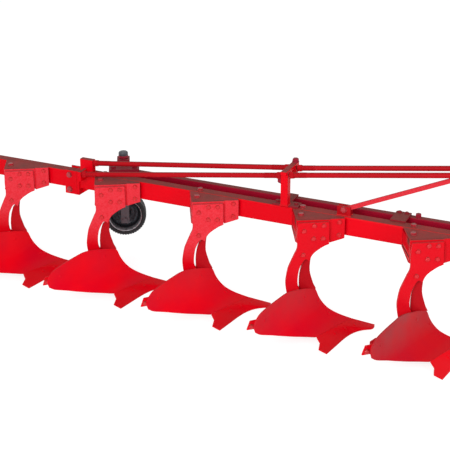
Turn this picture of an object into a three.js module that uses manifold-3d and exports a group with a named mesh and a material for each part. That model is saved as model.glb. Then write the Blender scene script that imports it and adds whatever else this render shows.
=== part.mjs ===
// A five-furrow mounted mouldboard plough.
// Lengths are millimetres, X is the way it travels, Y is toward the unploughed land, Z is up.
// Everything is drawn about the third body's leg on the furrow bottom, then moved so the
// whole thing stands centred on the origin.
import * as THREE from 'three';
import { mergeVertices } from 'three/addons/utils/BufferGeometryUtils.js';
import Module from 'manifold-3d';

const wasm = await Module();
wasm.setup();

// Layout of the frame and its five bodies
const bodyCount = 5;
const middleBody = 3;
const bodyPitch = 740;
const beamAngleDegrees = 28.9;
const beamFaceAside = 65;
const fitGap = 0.3;
const weldOverlap = 1;

// Main frame beams
const beamTop = 779;
const nearBeamHeight = 127;
const nearBeamWidth = 80;
const nearBeamWall = 8;
const jointBehindBody = 360;
const nearBeamRear = -(bodyPitch + jointBehindBody);
const farBeamNearFace = 164;
const farBeamWidth = 50;
const farBeamHeight = 120;
const farBeamWall = 6;
const farBeamBehindBody = 164;
const farBeamRear = -(bodyPitch + farBeamBehindBody);
const beamFrontPlane = 1690;
const beamReach = 2200;

// Rear section that carries the last body
const extensionBehindBody = 380;
const extensionRear = -(2 * bodyPitch + extensionBehindBody);
const extensionBottom = 648;
const extensionTop = 772;
const extensionWidth = 80;
const extensionWall = 8;
const endPlateThickness = 15;
const drainDiameter = 24;
const cheekLength = 76;
const cheekThickness = 12;
const jointBottom = 606;
const jointTop = 783;
const jointPlateThickness = 20;
const jointPlateOverhang = 14;
const jointGussetLength = 66;
const jointGussetThickness = 20;

// Top cross plates
const crossPlateThickness = 12;
const frontCrossRear = 1145;
const frontCrossFront = 1245;
const frontCrossNear = 60;
const postPlateRear = 365;
const postPlateFront = 545;
const postPlateNear = 2;
const postCrossRear = 410;
const postCrossFront = 470;
const farEdge = 214;

// Post over the frame, and the long stays that run through it to the mast
const postAlong = 453;
const postSide = 50;
const postNear = -15;
const nearStayHeight = 989;
const postAboveStay = 17;
const postTop = nearStayHeight + postAboveStay;
const crossbarWidth = 40;
const crossbarNear = -32;
const crossbarFar = 200;
const crossbarThickness = 24;
const stayBlockNear = 130;
const stayBlockFar = 172;
const stayBlockDepth = 42;
const stayDiameter = 35;
const stayNutAcross = 50;
const stayNutLength = 30;
const stayHeadLug = 18;
const nearStayAside = 10;
const nearStayRise = 8;
const nearStayHeadShare = 0.826;
const farStayAside = 150;
const farStayDrop = 10;
const farStayHeight = postTop - farStayDrop;
const farStayRise = 4;
const farStayHeadShare = 0.712;
const anchorInset = 4;
const anchorLength = 102;
const anchorRear = nearBeamRear + anchorInset;
const anchorFront = anchorRear + anchorLength;
const anchorNear = 4;
const anchorWidth = 40;
const anchorTop = 876;
const anchorStayHeight = 853;
const anchorStayAside = 22;
const lugInset = 38;
const lugThickness = 22;
const lugRear = nearBeamRear + lugInset;
const lugFront = lugRear + lugThickness;
const lugNear = -84;
const lugBottom = 742;
const lugTop = 812;
const lugStayAside = -62;
const lugStayHeight = 790;

// Mast and linkage at the tractor end
const mastCentre = -740;
const hitchTubeSide = 90;
const hitchTubeWall = 8;
const hitchTubeBottom = 670;
const hitchTubeHalf = 410;
const mastBarWidth = 70;
const mastBarThickness = 25;
const mastAhead = 1735;
const mastFootInset = 60;
const mastHeadHalf = 85;
const mastHeadHeight = 1330;
const headPlateHeight = 95;
const headPlateWidth = 250;
const headPlateThickness = 20;
const clevisPlateThickness = 16;
const clevisSlot = 52;
const clevisReach = 110;
const clevisPinShare = 0.62;
const clevisRise = 40;
const clevisDrop = 55;
const topPinDiameter = 25;
const topPinLength = 130;
const hangerThickness = 20;
const hangerWidth = 100;
const hangerBottom = 520;
const hangerSpread = 75;
const lowerPinHeight = 572;
const lowerPinDiameter = 28;
const pinAheadShare = 0.6;
const lowerPinLength = 150;
const pinCollarDiameter = 46;
const pinCollarLength = 12;
const linchDiameter = 10;
const linchLength = 46;
const linchRing = 34;
const linchRingWire = 5;

// Diagonal stay of the mast
const mastStayFootAlong = 850;
const mastStayFootAside = 42;
const mastStayFootHeight = 815;
const mastStayHeadDrop = 30;
const mastStayWidth = 29;
const mastStayThickness = 18;
const clampPlateLength = 90;
const clampPlateHeight = 62;
const clampPlateThickness = 12;
const clampPinDiameter = 22;

// Large bolt head on the far beam
const beamKnobAlong = 1295;
const beamKnobDiameter = 40;
const beamKnobHeight = 25;

// Leg of a body, a slotted plate that ends in a bar behind the mouldboard
const legNear = -55;
const legThickness = 25;
const legOutline = [
  [-197, 769], [-203, 688], [-200, 600], [-218, 552], [-240, 500], [-257, 455], [-267, 400],
  [-271, 355], [-265, 300], [-252, 240], [-232, 180], [-205, 150], [-165, 150], [-158, 190],
  [-168, 250], [-181, 310], [-189, 330], [-193, 365], [-191, 405], [-183, 452], [-168, 487],
  [-153, 512], [-138, 517], [-120, 503], [-112, 525], [-105, 541], [-90, 561], [-66, 581],
  [-28, 606], [5, 620], [1, 772],
];

// Frog of a body, the darker bar and shoe that hold the share, landside and mouldboard
const frogNear = -29.5;
const frogThickness = 15.2;
const frogOutline = [
  [-190, 590], [-176, 530], [-137, 512], [-158, 487], [-171, 445], [-178, 405], [-181, 365],
  [-180, 320], [-192, 250], [-260, 140], [-330, 100], [-330, 16], [280, 16], [230, 45], [110, 80],
  [30, 130], [-20, 190], [-72, 250], [-94, 292], [-68, 296], [-85, 330], [-97, 368], [-107, 402],
  [-112, 428], [-113, 457], [-110, 499], [-104, 545], [-98, 580],
];

// Bracket that carries a leg on the beam
const webNear = -30;
const webThickness = 18;
const webRear = -205;
const webBottom = 625;
const narrowRear = 12;
const narrowFront = 107;
const narrowBottomRear = 617;
const narrowBottomFront = 645;
const narrowTop = 782;
const narrowNear = -27;
const gussetThickness = 15;
const closingThickness = 12;
const closingBottomAtBeam = 652;
const lowerGussetBottom = 655;
const lowerGussetFront = 60;
const weldInset = 6;

// Soil-working surface: distance of the shin ahead of the leg against height, and the wall angle
const shinHeights = [0, 20, 50, 100, 150, 200, 250, 300, 360];
const shinAheads = [335, 278, 196, 82, 10, -29, -55, -75, -90];
const wallAngleDegrees = 42;
const wallTwistDegrees = 5;
const wallTwistHeight = 300;

// Mouldboard edges, each point is ahead of the leg and height
const boardThickness = 8;
const boardShinHeights = [74, 96, 120, 147, 187, 230, 281];
const boardCrest = [
  [-112, 303], [-165, 326], [-270, 362], [-341, 360], [-400, 353], [-450, 343], [-482, 328], [-507, 296], [
    -514, 268,
  ],
];
const boardFootHeight = 58;
const boardLower = [
  [130, 59], [85, 60], [45, 60], [5, 61], [-35, 62], [-62, 62], [-88, 62], [-145, 77],
  [-235, 104], [-302, 130], [-352, 146], [-400, 171], [-440, 188], [-475, 206], [-503, 230],
];
const boardRows = 4;
const seamColumns = 7;

// Share, from the cutting edge up to the seam, each point is ahead, aside and height
const shareThickness = 11;
const shareEdgeThickness = 5;
const shareEdge = [
  [335, 0, 5], [322, -44, 5], [292, -68, 5], [228, -80, 5], [166, -112, 5], [106, -170, 5],
  [31, -266, 5], [-42, -360, 5],
];
const shareHeel = [-90, -338, 28];
const shareSeamRows = 3;
const seamGap = 3.5;
const cutterReach = 60;

// Landside along the furrow wall
const landsideThickness = 14;
const landsideOutline = [[300, 0], [215, 30], [160, 46], [75, 105], [-385, 105], [-420, 80], [-420, 0]];

// Bar that props the mouldboard's tail from the leg
const braceFootAhead = -215;
const braceFootHeight = 196;
const braceTipAhead = -452;
const braceTipHeight = 262;
const braceWidth = 40;
const braceThickness = 12;
const tailLugReach = 80;
const tailLugDrop = 8;
const tailLugWidth = 60;

// Bolt heads
const largeBoltAcross = 34;
const largeBoltHeight = 16;
const smallBoltAcross = 26;
const smallBoltHeight = 12;
const plowBoltDiameter = 20;
const plowBoltHeight = 3;
const boltSink = 1;
const legBoltSpots = [[-159, 715], [-94, 750], [-34, 749], [-97, 662], [-36, 660], [-161, 551]];
const narrowBoltSpots = [[72, 758], [70, 670]];
const gussetBoltSpot = [-164, 58];
const beamBoltAlong = -175;
const boardBoltSpots = [[20, 118], [-45, 200], [-150, 270], [-440, 275]];
const shareBoltShares = [0.2, 0.42, 0.64];
const shareBoltRiseShare = 0.62;
const shareBoltStepShare = 0.02;
const normalStep = 1;

// Depth wheel
const wheelHeight = 347.5;
const wheelRunningGap = 15;
const tyreRadius = 155;
const tyreWidth = 120;
const tyreInner = 122;
const tyreBeadShare = 1.05;
const tyreShoulderShare = 0.94;
const tyreCrownShare = 0.985;
const tyreShoulderSideShare = 0.8;
const tyreCrownSideShare = 0.45;
const rimWidth = 104;
const rimWall = 6;
const discHubShare = 0.23;
const discRimShare = 0.3;
const hubRadius = 34;
const hubWidth = 110;
const hubBore = 20.09;
const axleRadius = 20;
const axleHeadRadius = 30;
const axleHeadThickness = 10;
const axleEndClearance = 1;
const axleBossRadius = 19;
const axleBossThickness = 12;
const wheelPostAhead = -655;
const wheelPostAside = 745;
const wheelPostSide = 60;
const wheelPostWall = 7;
const wheelPostFoot = 24;
const wheelPostTop = 735;
const nutPlateThickness = 16;
const sleeveSide = 74;
const sleeveWall = 6;
const sleeveBottom = 560;
const sleeveTop = 797;
const sleeveFlangeSide = 90;
const sleeveFlangeThickness = 22;
const spindleRadius = 12;
const spindleBottom = 592;
const spindleBore = 13;
const nutBore = 12.4;
const capRadius = 35;
const capHeight = 50;
const capNeckHeight = 6;
const armRear = -757;
const armFront = -543;
const armNear = 560;
const armBottom = 700;
const armPlateThickness = 12;
const saddleThickness = 20;

// Facet counts
const roundFacets = 16;
const rodFacets = 12;
const tyreFacets = 40;
const hexFacets = 6;
const smallFacets = 10;

const beamAngle = THREE.MathUtils.degToRad(beamAngleDegrees);
const stepAhead = bodyPitch * Math.cos(beamAngle);
const stepAside = bodyPitch * Math.sin(beamAngle);
const beamSlope = Math.tan(beamAngle);

const paints = {
  red: { color: 0xd4061c, roughness: 0.42, metalness: 0.1 },
  darkRed: { color: 0xa00820, roughness: 0.5, metalness: 0.1 },
  steel: { color: 0x6d6f74, roughness: 0.45, metalness: 0.8 },
  zinc: { color: 0xb9bcc2, roughness: 0.35, metalness: 0.9 },
  rubber: { color: 0x1b1b1d, roughness: 0.85, metalness: 0 },
  dark: { color: 0x2b2c30, roughness: 0.55, metalness: 0.6 },
};

const plough = new THREE.Group();
plough.name = 'plough';

function addNode(name, geometry, paint) {
  const mesh = new THREE.Mesh(geometry, new THREE.MeshStandardMaterial(paint));
  mesh.name = name;
  plough.add(mesh);
  return mesh;
}

function polygonShape(points) {
  const shape = new THREE.Shape();
  points.forEach(([a, b], index) => {
    if (index === 0) {
      shape.moveTo(a, b);
    } else {
      shape.lineTo(a, b);
    }
  });
  shape.closePath();
  return shape;
}

function rectanglePoints(left, low, right, high) {
  return [[left, low], [right, low], [right, high], [left, high]];
}

function withBasis(geometry, origin, xAxis, yAxis, zAxis) {
  const matrix = new THREE.Matrix4().makeBasis(xAxis, yAxis, zAxis);
  matrix.setPosition(origin);
  return geometry.applyMatrix4(matrix);
}

function extruded(shape, depth) {
  return new THREE.ExtrudeGeometry(shape, { depth, bevelEnabled: false, curveSegments: rodFacets });
}

const ahead = new THREE.Vector3(1, 0, 0);
const aside = new THREE.Vector3(0, 1, 0);
const up = new THREE.Vector3(0, 0, 1);

// Upright plate along the way of travel: points are ahead and height
function uprightPlate(points, nearSide, thickness) {
  const origin = new THREE.Vector3(0, nearSide + thickness, 0);
  return withBasis(extruded(polygonShape(points), thickness), origin, ahead, up, aside.clone().negate());
}

// Flat plate: points are ahead and aside
function flatPlate(points, bottom, thickness) {
  return extruded(polygonShape(points), thickness).translate(0, 0, bottom);
}

// Plate square to the way of travel: points are aside and height
function squarePlate(points, rear, thickness) {
  const origin = new THREE.Vector3(rear, 0, 0);
  return withBasis(extruded(polygonShape(points), thickness), origin, aside, up, ahead);
}

function block(low, high) {
  const [x0, y0, z0] = low;
  const [x1, y1, z1] = high;
  return flatPlate(rectanglePoints(x0, y0, x1, y1), z0, z1 - z0);
}

// Square tube standing, lying or leaning is made from an outline with a hole in it
function tubeShape(width, height, wall) {
  const shape = polygonShape(rectanglePoints(0, 0, width, height));
  const inner = rectanglePoints(wall, wall, width - wall, height - wall);
  shape.holes.push(polygonShape(inner));
  return shape;
}

function squareTubeAlongX(rear, front, near, bottom, width, height, wall) {
  const origin = new THREE.Vector3(rear, near, bottom);
  return withBasis(extruded(tubeShape(width, height, wall), front - rear), origin, aside, up, ahead);
}

function squareTubeAlongY(near, far, rear, bottom, depth, height, wall) {
  const origin = new THREE.Vector3(rear, far, bottom);
  return withBasis(
    extruded(tubeShape(depth, height, wall), far - near), origin, ahead, up, aside.clone().negate(),
  );
}

function standingTube(centreX, centreY, bottom, top, side, wall) {
  const half = side / 2;
  return extruded(tubeShape(side, side, wall), top - bottom).translate(
    centreX - half, centreY - half, bottom,
  );
}

function cylinderBetween(start, end, radius, facets = rodFacets) {
  const along = end.clone().sub(start);
  const length = along.length();
  const geometry = new THREE.CylinderGeometry(radius, radius, length, facets);
  const turn = new THREE.Quaternion().setFromUnitVectors(aside, along.normalize());
  const middle = start.clone().add(end).multiplyScalar(0.5);
  return geometry.applyQuaternion(turn).translate(middle.x, middle.y, middle.z);
}

// Flat bar between two points, its width held in the upright plane that holds both
function barBetween(start, end, width, thickness) {
  const along = end.clone().sub(start);
  const length = along.length();
  along.normalize();
  const sideways = new THREE.Vector3().crossVectors(up, along).normalize();
  const across = new THREE.Vector3().crossVectors(along, sideways).normalize();
  const halfWidth = width / 2;
  const halfThickness = thickness / 2;
  const outline = rectanglePoints(-halfThickness, -halfWidth, halfThickness, halfWidth);
  return withBasis(extruded(polygonShape(outline), length), start, sideways, across, along);
}

function lathed(profile, facets) {
  return new THREE.LatheGeometry(profile.map(([r, h]) => new THREE.Vector2(r, h)), facets);
}

function toManifold(geometry) {
  const bare = geometry.clone();
  bare.deleteAttribute('normal');
  bare.deleteAttribute('uv');
  const merged = mergeVertices(bare);
  const vertProperties = new Float32Array(merged.attributes.position.array);
  const triVerts = new Uint32Array(merged.index.array);
  return new wasm.Manifold(new wasm.Mesh({ numProp: 3, vertProperties, triVerts }));
}

function fromManifold(solid) {
  const mesh = solid.getMesh();
  const geometry = new THREE.BufferGeometry();
  geometry.setAttribute('position', new THREE.BufferAttribute(new Float32Array(mesh.vertProperties), 3));
  geometry.setIndex(new THREE.BufferAttribute(new Uint32Array(mesh.triVerts), 1));
  geometry.computeVertexNormals();
  return geometry;
}

function joined(...geometries) {
  return fromManifold(geometries.map(toManifold).reduce((sum, next) => sum.add(next)));
}

function cutFrom(geometry, ...cutters) {
  const solid = toManifold(geometry);
  return fromManifold(cutters.map(toManifold).reduce((left, next) => left.subtract(next), solid));
}

// Frame pieces are drawn along the beam, then turned into place
function onBeam(geometry) {
  return geometry.rotateZ(-beamAngle).translate(0, beamFaceAside, 0);
}

function beamPoint(along, across, height) {
  const point = new THREE.Vector3(along, across, height).applyAxisAngle(up, -beamAngle);
  return point.add(new THREE.Vector3(0, beamFaceAside, 0));
}

function bodyPlace(body) {
  const steps = body - middleBody;
  return [steps * stepAhead, -steps * stepAside];
}

function atBody(geometry, body) {
  const [dx, dy] = bodyPlace(body);
  return geometry.translate(dx, dy, 0);
}

// Hexagon bolt head standing on z = 0
function boltHead(across, height) {
  const radius = across / Math.sqrt(3);
  return lathed([[0, 0], [radius, 0], [radius, height], [0, height]], hexFacets).rotateX(Math.PI / 2);
}

function boltFacing(position, direction, across, height) {
  const turn = new THREE.Quaternion().setFromUnitVectors(up, direction.clone().normalize());
  const start = position.clone().addScaledVector(direction.clone().normalize(), -boltSink);
  return boltHead(across, height + boltSink).applyQuaternion(turn).translate(start.x, start.y, start.z);
}

// Soil-working surface
const outwardOfBoard = new THREE.Vector3(1, -1, 0.4);

function shinSlope(index) {
  const before = Math.max(index - 1, 0);
  const after = Math.min(index + 1, shinHeights.length - 1);
  return (shinAheads[after] - shinAheads[before]) / (shinHeights[after] - shinHeights[before]);
}

function shinAt(height) {
  const last = shinHeights.length - 2;
  const above = shinHeights.findIndex((knot) => knot >= height) - 1;
  const i = above === -2 ? last : Math.max(above, 0);
  const span = shinHeights[i + 1] - shinHeights[i];
  const t = (height - shinHeights[i]) / span;
  const lift = t * t * (3 - 2 * t);
  const leave = t * (1 - t) * (1 - t) * span;
  const arrive = t * t * (t - 1) * span;
  const level = shinAheads[i] + lift * (shinAheads[i + 1] - shinAheads[i]);
  return level + leave * shinSlope(i) + arrive * shinSlope(i + 1);
}

function wallSlope(height) {
  const degrees = wallAngleDegrees + wallTwistDegrees * (height / wallTwistHeight);
  return Math.tan(THREE.MathUtils.degToRad(degrees));
}

function surfacePoint(x, z) {
  return new THREE.Vector3(x, Math.min(0, -wallSlope(z) * (shinAt(z) - x)), z);
}

// Solid between two offsets of a face that is given as rows of points
function faceNormals(rows, outward) {
  const lastRow = rows.length - 1;
  const lastColumn = rows[0].length - 1;
  const normalAt = (r, c) => {
    const alongRow = rows[r][Math.min(c + 1, lastColumn)].clone().sub(rows[r][Math.max(c - 1, 0)]);
    const acrossRows = rows[Math.min(r + 1, lastRow)][c].clone().sub(rows[Math.max(r - 1, 0)][c]);
    const normal = new THREE.Vector3().crossVectors(alongRow, acrossRows).normalize();
    return normal.dot(outward) < 0 ? normal.negate() : normal;
  };
  return rows.map((row, r) => row.map((_, c) => normalAt(r, c)));
}

function solidBetween(front, back) {
  const rowCount = front.length;
  const columnCount = front[0].length;
  const points = [...front.flat(), ...back.flat()];
  const behind = rowCount * columnCount;
  const index = [];
  const quad = (a, b, c, d) => index.push(a, b, c, a, c, d);
  const wall = (a, b) => quad(a, b, behind + b, behind + a);
  for (let r = 0; r < rowCount - 1; r += 1) {
    for (let c = 0; c < columnCount - 1; c += 1) {
      const a = r * columnCount + c;
      const d = a + columnCount;
      quad(a, a + 1, d + 1, d);
      quad(behind + a, behind + d, behind + d + 1, behind + a + 1);
    }
  }
  for (let c = 0; c < columnCount - 1; c += 1) {
    const top = (rowCount - 1) * columnCount + c;
    wall(c + 1, c);
    wall(top, top + 1);
  }
  for (let r = 0; r < rowCount - 1; r += 1) {
    const left = r * columnCount;
    const right = left + columnCount - 1;
    wall(left, left + columnCount);
    wall(right + columnCount, right);
  }
  const facesOut = (order) => {
    const geometry = new THREE.BufferGeometry();
    const values = new Float32Array(points.flatMap((point) => point.toArray()));
    geometry.setAttribute('position', new THREE.BufferAttribute(values, 3));
    geometry.setIndex(order);
    return geometry;
  };
  if (toManifold(facesOut(index)).volume() > 0) {
    return facesOut(index);
  }
  const turned = index.map((_, i) => index[i - (i % 3) + ((3 - (i % 3)) % 3)]);
  return facesOut(turned);
}

function offsetRows(rows, outward, distanceAt) {
  const normals = faceNormals(rows, outward);
  return rows.map((row, r) => row.map((point, c) => (
    point.clone().addScaledVector(normals[r][c], distanceAt(r / (rows.length - 1)))
  )));
}

function flushRows(rows) {
  const flush = (point) => new THREE.Vector3(point.x, Math.min(point.y, 0), Math.max(point.z, 0));
  return rows.map((row) => row.map(flush));
}

// Plate behind a face, flush with the furrow wall and the furrow bottom
function plateBehind(rows, thicknessAt, outward) {
  return solidBetween(rows, flushRows(offsetRows(rows, outward, (rise) => -thicknessAt(rise))));
}

// Space that the plate and its seat clearance take from whatever stands behind it
function seatCutters(rows, reached, thicknessAt, outward) {
  const behind = offsetRows(rows, outward, (rise) => -thicknessAt(rise) - fitGap);
  return [solidBetween(reached, behind), solidBetween(reached, flushRows(behind))];
}

// Fasteners of the bodies
const towardViewer = new THREE.Vector3(0, -1, 0);

function legBolts() {
  return legBoltSpots.map(([x, z]) => (
    boltFacing(new THREE.Vector3(x, legNear, z), towardViewer, smallBoltAcross, smallBoltHeight)
  ));
}

function bracketBolts() {
  const narrow = narrowBoltSpots.map(([x, z]) => (
    boltFacing(new THREE.Vector3(x, narrowNear, z), towardViewer, smallBoltAcross, smallBoltHeight)
  ));
  const [gussetX, gussetY] = gussetBoltSpot;
  const onGusset = new THREE.Vector3(gussetX, gussetY, beamTop);
  return [...narrow, boltFacing(onGusset, up, largeBoltAcross, largeBoltHeight)];
}

function boardNormal(x, z) {
  const centre = surfacePoint(x, z);
  const alongX = surfacePoint(x + normalStep, z).sub(centre);
  const alongZ = surfacePoint(x, z + normalStep).sub(centre);
  const normal = new THREE.Vector3().crossVectors(alongX, alongZ).normalize();
  return normal.dot(outwardOfBoard) < 0 ? normal.negate() : normal;
}

function flushHead(position, direction) {
  const start = position.clone().addScaledVector(direction, -boltSink);
  const end = position.clone().addScaledVector(direction, plowBoltHeight);
  return cylinderBetween(start, end, plowBoltDiameter / 2, smallFacets);
}

function boardBolts() {
  return boardBoltSpots.map(([x, z]) => flushHead(surfacePoint(x, z), boardNormal(x, z)));
}

function shareBolts() {
  return shareBoltShares.map((share) => {
    const last = shareEdge.length - 1;
    const place = share * last;
    const i = Math.floor(place);
    const low = new THREE.Vector3(...shareEdge[i]).lerp(new THREE.Vector3(...shareEdge[i + 1]), place - i);
    const high = seamPoint(share);
    const highNext = seamPoint(share + shareBoltStepShare);
    const normal = new THREE.Vector3().crossVectors(highNext.sub(high), low.clone().sub(high)).normalize();
    if (normal.z < 0) {
      normal.negate();
    }
    return flushHead(low.lerp(high, shareBoltRiseShare), normal);
  });
}

function boardFace() {
  const upper = [...boardShinHeights.map((height) => [shinAt(height), height]), ...boardCrest];
  const lower = [[shinAt(boardFootHeight), boardFootHeight], ...boardLower];
  const rows = [];
  for (let r = 0; r <= boardRows; r += 1) {
    const share = r / boardRows;
    rows.push(upper.map(([x, z], c) => {
      const [lowX, lowZ] = lower[c];
      const plannedX = lowX + share * (x - lowX);
      const plannedZ = lowZ + share * (z - lowZ);
      return surfacePoint(plannedX, plannedZ);
    }));
  }
  return rows;
}

const boardThicknessAt = () => boardThickness;

function makeMouldboard() {
  return joined(plateBehind(boardFace(), boardThicknessAt, outwardOfBoard), ...boardBolts());
}

function seamPoint(share) {
  const span = [[shinAt(boardFootHeight), boardFootHeight], ...boardLower.slice(0, seamColumns)];
  const place = share * (span.length - 1);
  const i = Math.min(Math.floor(place), span.length - 2);
  const [x0, z0] = span[i];
  const [x1, z1] = span[i + 1];
  const part = place - i;
  return surfacePoint(x0 + part * (x1 - x0), z0 + part * (z1 - z0));
}

const outwardOfShare = new THREE.Vector3(0.3, -0.4, 0.85);

function shareFace() {
  const last = shareEdge.length - 1;
  const rows = [];
  for (let r = 0; r <= shareSeamRows; r += 1) {
    const rise = r / shareSeamRows;
    rows.push(shareEdge.map(([x, y, z], c) => {
      const low = new THREE.Vector3(x, y, z);
      const high = seamPoint(c / last);
      const toLow = low.clone().sub(high).normalize();
      high.addScaledVector(toLow, seamGap);
      if (c === last && r === 1) {
        return new THREE.Vector3(...shareHeel);
      }
      return low.lerp(high, rise);
    }));
  }
  return rows;
}

function shareThicknessAt(rise) {
  return shareEdgeThickness + (shareThickness - shareEdgeThickness) * Math.min(1, rise * 2);
}

function makeShare() {
  return joined(plateBehind(shareFace(), shareThicknessAt, outwardOfShare), ...shareBolts());
}

function mainPiece(geometry) {
  const pieces = toManifold(geometry).decompose();
  const larger = (one, other) => (other.volume() > one.volume() ? other : one);
  return fromManifold(pieces.reduce(larger));
}

function boardSeat() {
  const rows = boardFace();
  const reached = offsetRows(rows, outwardOfBoard, () => cutterReach);
  return seatCutters(rows, reached, boardThicknessAt, outwardOfBoard);
}

function shareSeat() {
  const rows = shareFace();
  const reached = rows.map((row) => row.map((point) => point.clone().addScaledVector(up, cutterReach)));
  return seatCutters(rows, reached, shareThicknessAt, outwardOfShare);
}

function seated(geometry) {
  return mainPiece(cutFrom(geometry, ...boardSeat(), ...shareSeat()));
}

// One body's bracket: web, top and bottom gussets, rear closing plate and the narrow front plate
function makeBracket() {
  const faceAt = (x) => beamFaceAside - beamSlope * x - 2 * fitGap;
  const webBack = webNear + webThickness;
  const inner = webBack - weldInset;
  const web = uprightPlate(
    rectanglePoints(webRear, webBottom, narrowRear + weldInset, beamTop), webNear, webThickness,
  );
  const narrow = uprightPlate(
    [
      [narrowRear, narrowBottomRear],
      [narrowFront, narrowBottomFront],
      [narrowFront, narrowTop],
      [narrowRear, narrowTop],
    ],
    narrowNear,
    webBack - narrowNear,
  );
  const topGusset = flatPlate(
    [
      [webRear, inner],
      [narrowFront, inner],
      [narrowFront, faceAt(narrowFront)],
      [webRear, faceAt(webRear)],
    ],
    beamTop - gussetThickness,
    gussetThickness,
  );
  const bottomGusset = flatPlate(
    [
      [webRear, inner],
      [lowerGussetFront, inner],
      [lowerGussetFront, faceAt(lowerGussetFront)],
      [webRear, faceAt(webRear)],
    ],
    lowerGussetBottom,
    gussetThickness,
  );
  const closingFar = faceAt(webRear + closingThickness);
  const closing = squarePlate(
    [[inner, webBottom], [closingFar, closingBottomAtBeam], [closingFar, beamTop], [inner, beamTop]],
    webRear,
    closingThickness,
  );
  return joined(web, narrow, topGusset, bottomGusset, closing, ...bracketBolts());
}

function makeLeg() {
  return joined(uprightPlate(legOutline, legNear, legThickness - fitGap), ...legBolts());
}

function makeFrog() {
  return seated(uprightPlate(frogOutline, frogNear, frogThickness));
}

function makeLandside() {
  return seated(uprightPlate(landsideOutline, -landsideThickness, landsideThickness));
}

function makeBrace() {
  const footHalf = braceWidth / 2;
  const footNear = legNear - fitGap - braceThickness;
  const foot = block(
    [braceFootAhead - footHalf, footNear, braceFootHeight - footHalf],
    [braceFootAhead + footHalf, footNear + braceThickness, braceFootHeight + footHalf],
  );
  const start = new THREE.Vector3(braceFootAhead, footNear + braceThickness / 2, braceFootHeight);
  const front = surfacePoint(braceTipAhead, braceTipHeight);
  const inward = boardNormal(braceTipAhead, braceTipHeight).negate();
  const tip = front.clone().addScaledVector(inward, boardThickness + braceThickness);
  const bar = barBetween(start, tip, braceWidth, braceThickness);
  const lugEnd = tip.clone().add(new THREE.Vector3(-tailLugReach, -tailLugDrop, -tailLugDrop));
  const lug = barBetween(tip, lugEnd, tailLugWidth, braceThickness);
  const pad = cylinderBetween(front, tip, braceWidth / 3);
  const legSpace = block(
    [braceFootAhead - braceWidth, legNear - fitGap, braceFootHeight - braceWidth],
    [braceFootAhead + braceWidth, legNear + legThickness, braceFootHeight + braceWidth],
  );
  return mainPiece(cutFrom(joined(foot, bar, lug, pad), legSpace, ...boardSeat()));
}

for (let body = 1; body <= bodyCount; body += 1) {
  addNode(`bracket_${body}`, atBody(makeBracket(), body), paints.red);
  addNode(`leg_${body}`, atBody(makeLeg(), body), paints.red);
  addNode(`frog_${body}`, atBody(makeFrog(), body), paints.darkRed);
  addNode(`mouldboard_${body}`, atBody(makeMouldboard(), body), paints.red);
  addNode(`share_${body}`, atBody(makeShare(), body), paints.red);
  addNode(`landside_${body}`, atBody(makeLandside(), body), paints.darkRed);
  addNode(`mouldboard_brace_${body}`, atBody(makeBrace(), body), paints.darkRed);
}

// Main beams with the joint plate at the rear and a slanted front end
const nearBottom = beamTop - nearBeamHeight;
const frontCutter = block(
  [beamFrontPlane, -beamReach, 0],
  [beamFrontPlane + beamReach, beamReach, beamReach],
);
const nearTube = squareTubeAlongX(
  nearBeamRear - weldOverlap, beamReach, 0, nearBottom, nearBeamWidth, nearBeamHeight, nearBeamWall,
);
const mainJointPlate = block(
  [nearBeamRear - jointPlateThickness, -jointPlateOverhang, jointBottom],
  [nearBeamRear, nearBeamWidth + jointPlateOverhang, jointTop],
);
const gussetNear = (nearBeamWidth - jointGussetThickness) / 2;
const jointGusset = uprightPlate(
  [
    [nearBeamRear - weldOverlap, jointBottom],
    [nearBeamRear + jointGussetLength, nearBottom],
    [nearBeamRear + jointGussetLength, nearBottom + weldOverlap],
    [nearBeamRear - weldOverlap, nearBottom + weldOverlap],
  ],
  gussetNear,
  jointGussetThickness,
);
const anchor = block(
  [anchorRear, anchorNear, beamTop - weldOverlap],
  [anchorFront, anchorNear + anchorWidth, anchorTop],
);
const lug = block(
  [lugRear, lugNear, lugBottom],
  [lugFront, weldOverlap, lugTop],
);

// Clamp of the mast's diagonal stay, welded to the near beam
const clampGap = mastStayThickness / 2 + 3 * fitGap;
const clampPlates = [-1, 1].map((side) => {
  const near = mastStayFootAside + (side < 0 ? -clampGap - clampPlateThickness : clampGap);
  return block(
    [mastStayFootAlong - clampPlateLength / 2, near, beamTop - weldOverlap],
    [mastStayFootAlong + clampPlateLength / 2, near + clampPlateThickness, beamTop + clampPlateHeight],
  );
});
const clampBolt = boltFacing(
  new THREE.Vector3(
    mastStayFootAlong,
    mastStayFootAside - clampGap - clampPlateThickness,
    beamTop + clampPlateHeight - clampPinDiameter,
  ),
  towardViewer,
  largeBoltAcross,
  largeBoltHeight,
);
const bodySteps = Array.from({ length: bodyCount }, (_, index) => index + 1 - middleBody);
const beamBolts = bodySteps.filter((step) => step + middleBody > 1).map((step) => boltFacing(
  new THREE.Vector3(step * bodyPitch + beamBoltAlong, nearBeamWidth / 2, beamTop),
  up,
  largeBoltAcross,
  largeBoltHeight,
));
const nearPieces = [
  nearTube, mainJointPlate, jointGusset, anchor, lug, ...clampPlates, clampBolt, ...beamBolts,
];
addNode('near_beam', cutFrom(onBeam(joined(...nearPieces)), frontCutter), paints.red);

const farTube = squareTubeAlongX(
  farBeamRear, beamReach, farBeamNearFace, beamTop - farBeamHeight, farBeamWidth, farBeamHeight, farBeamWall,
);
const beamKnob = cylinderBetween(
  new THREE.Vector3(beamKnobAlong, farBeamNearFace + farBeamWidth / 2, beamTop - weldOverlap),
  new THREE.Vector3(beamKnobAlong, farBeamNearFace + farBeamWidth / 2, beamTop + beamKnobHeight),
  beamKnobDiameter / 2,
);
addNode('far_beam', cutFrom(onBeam(joined(farTube, beamKnob)), frontCutter), paints.red);

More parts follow.
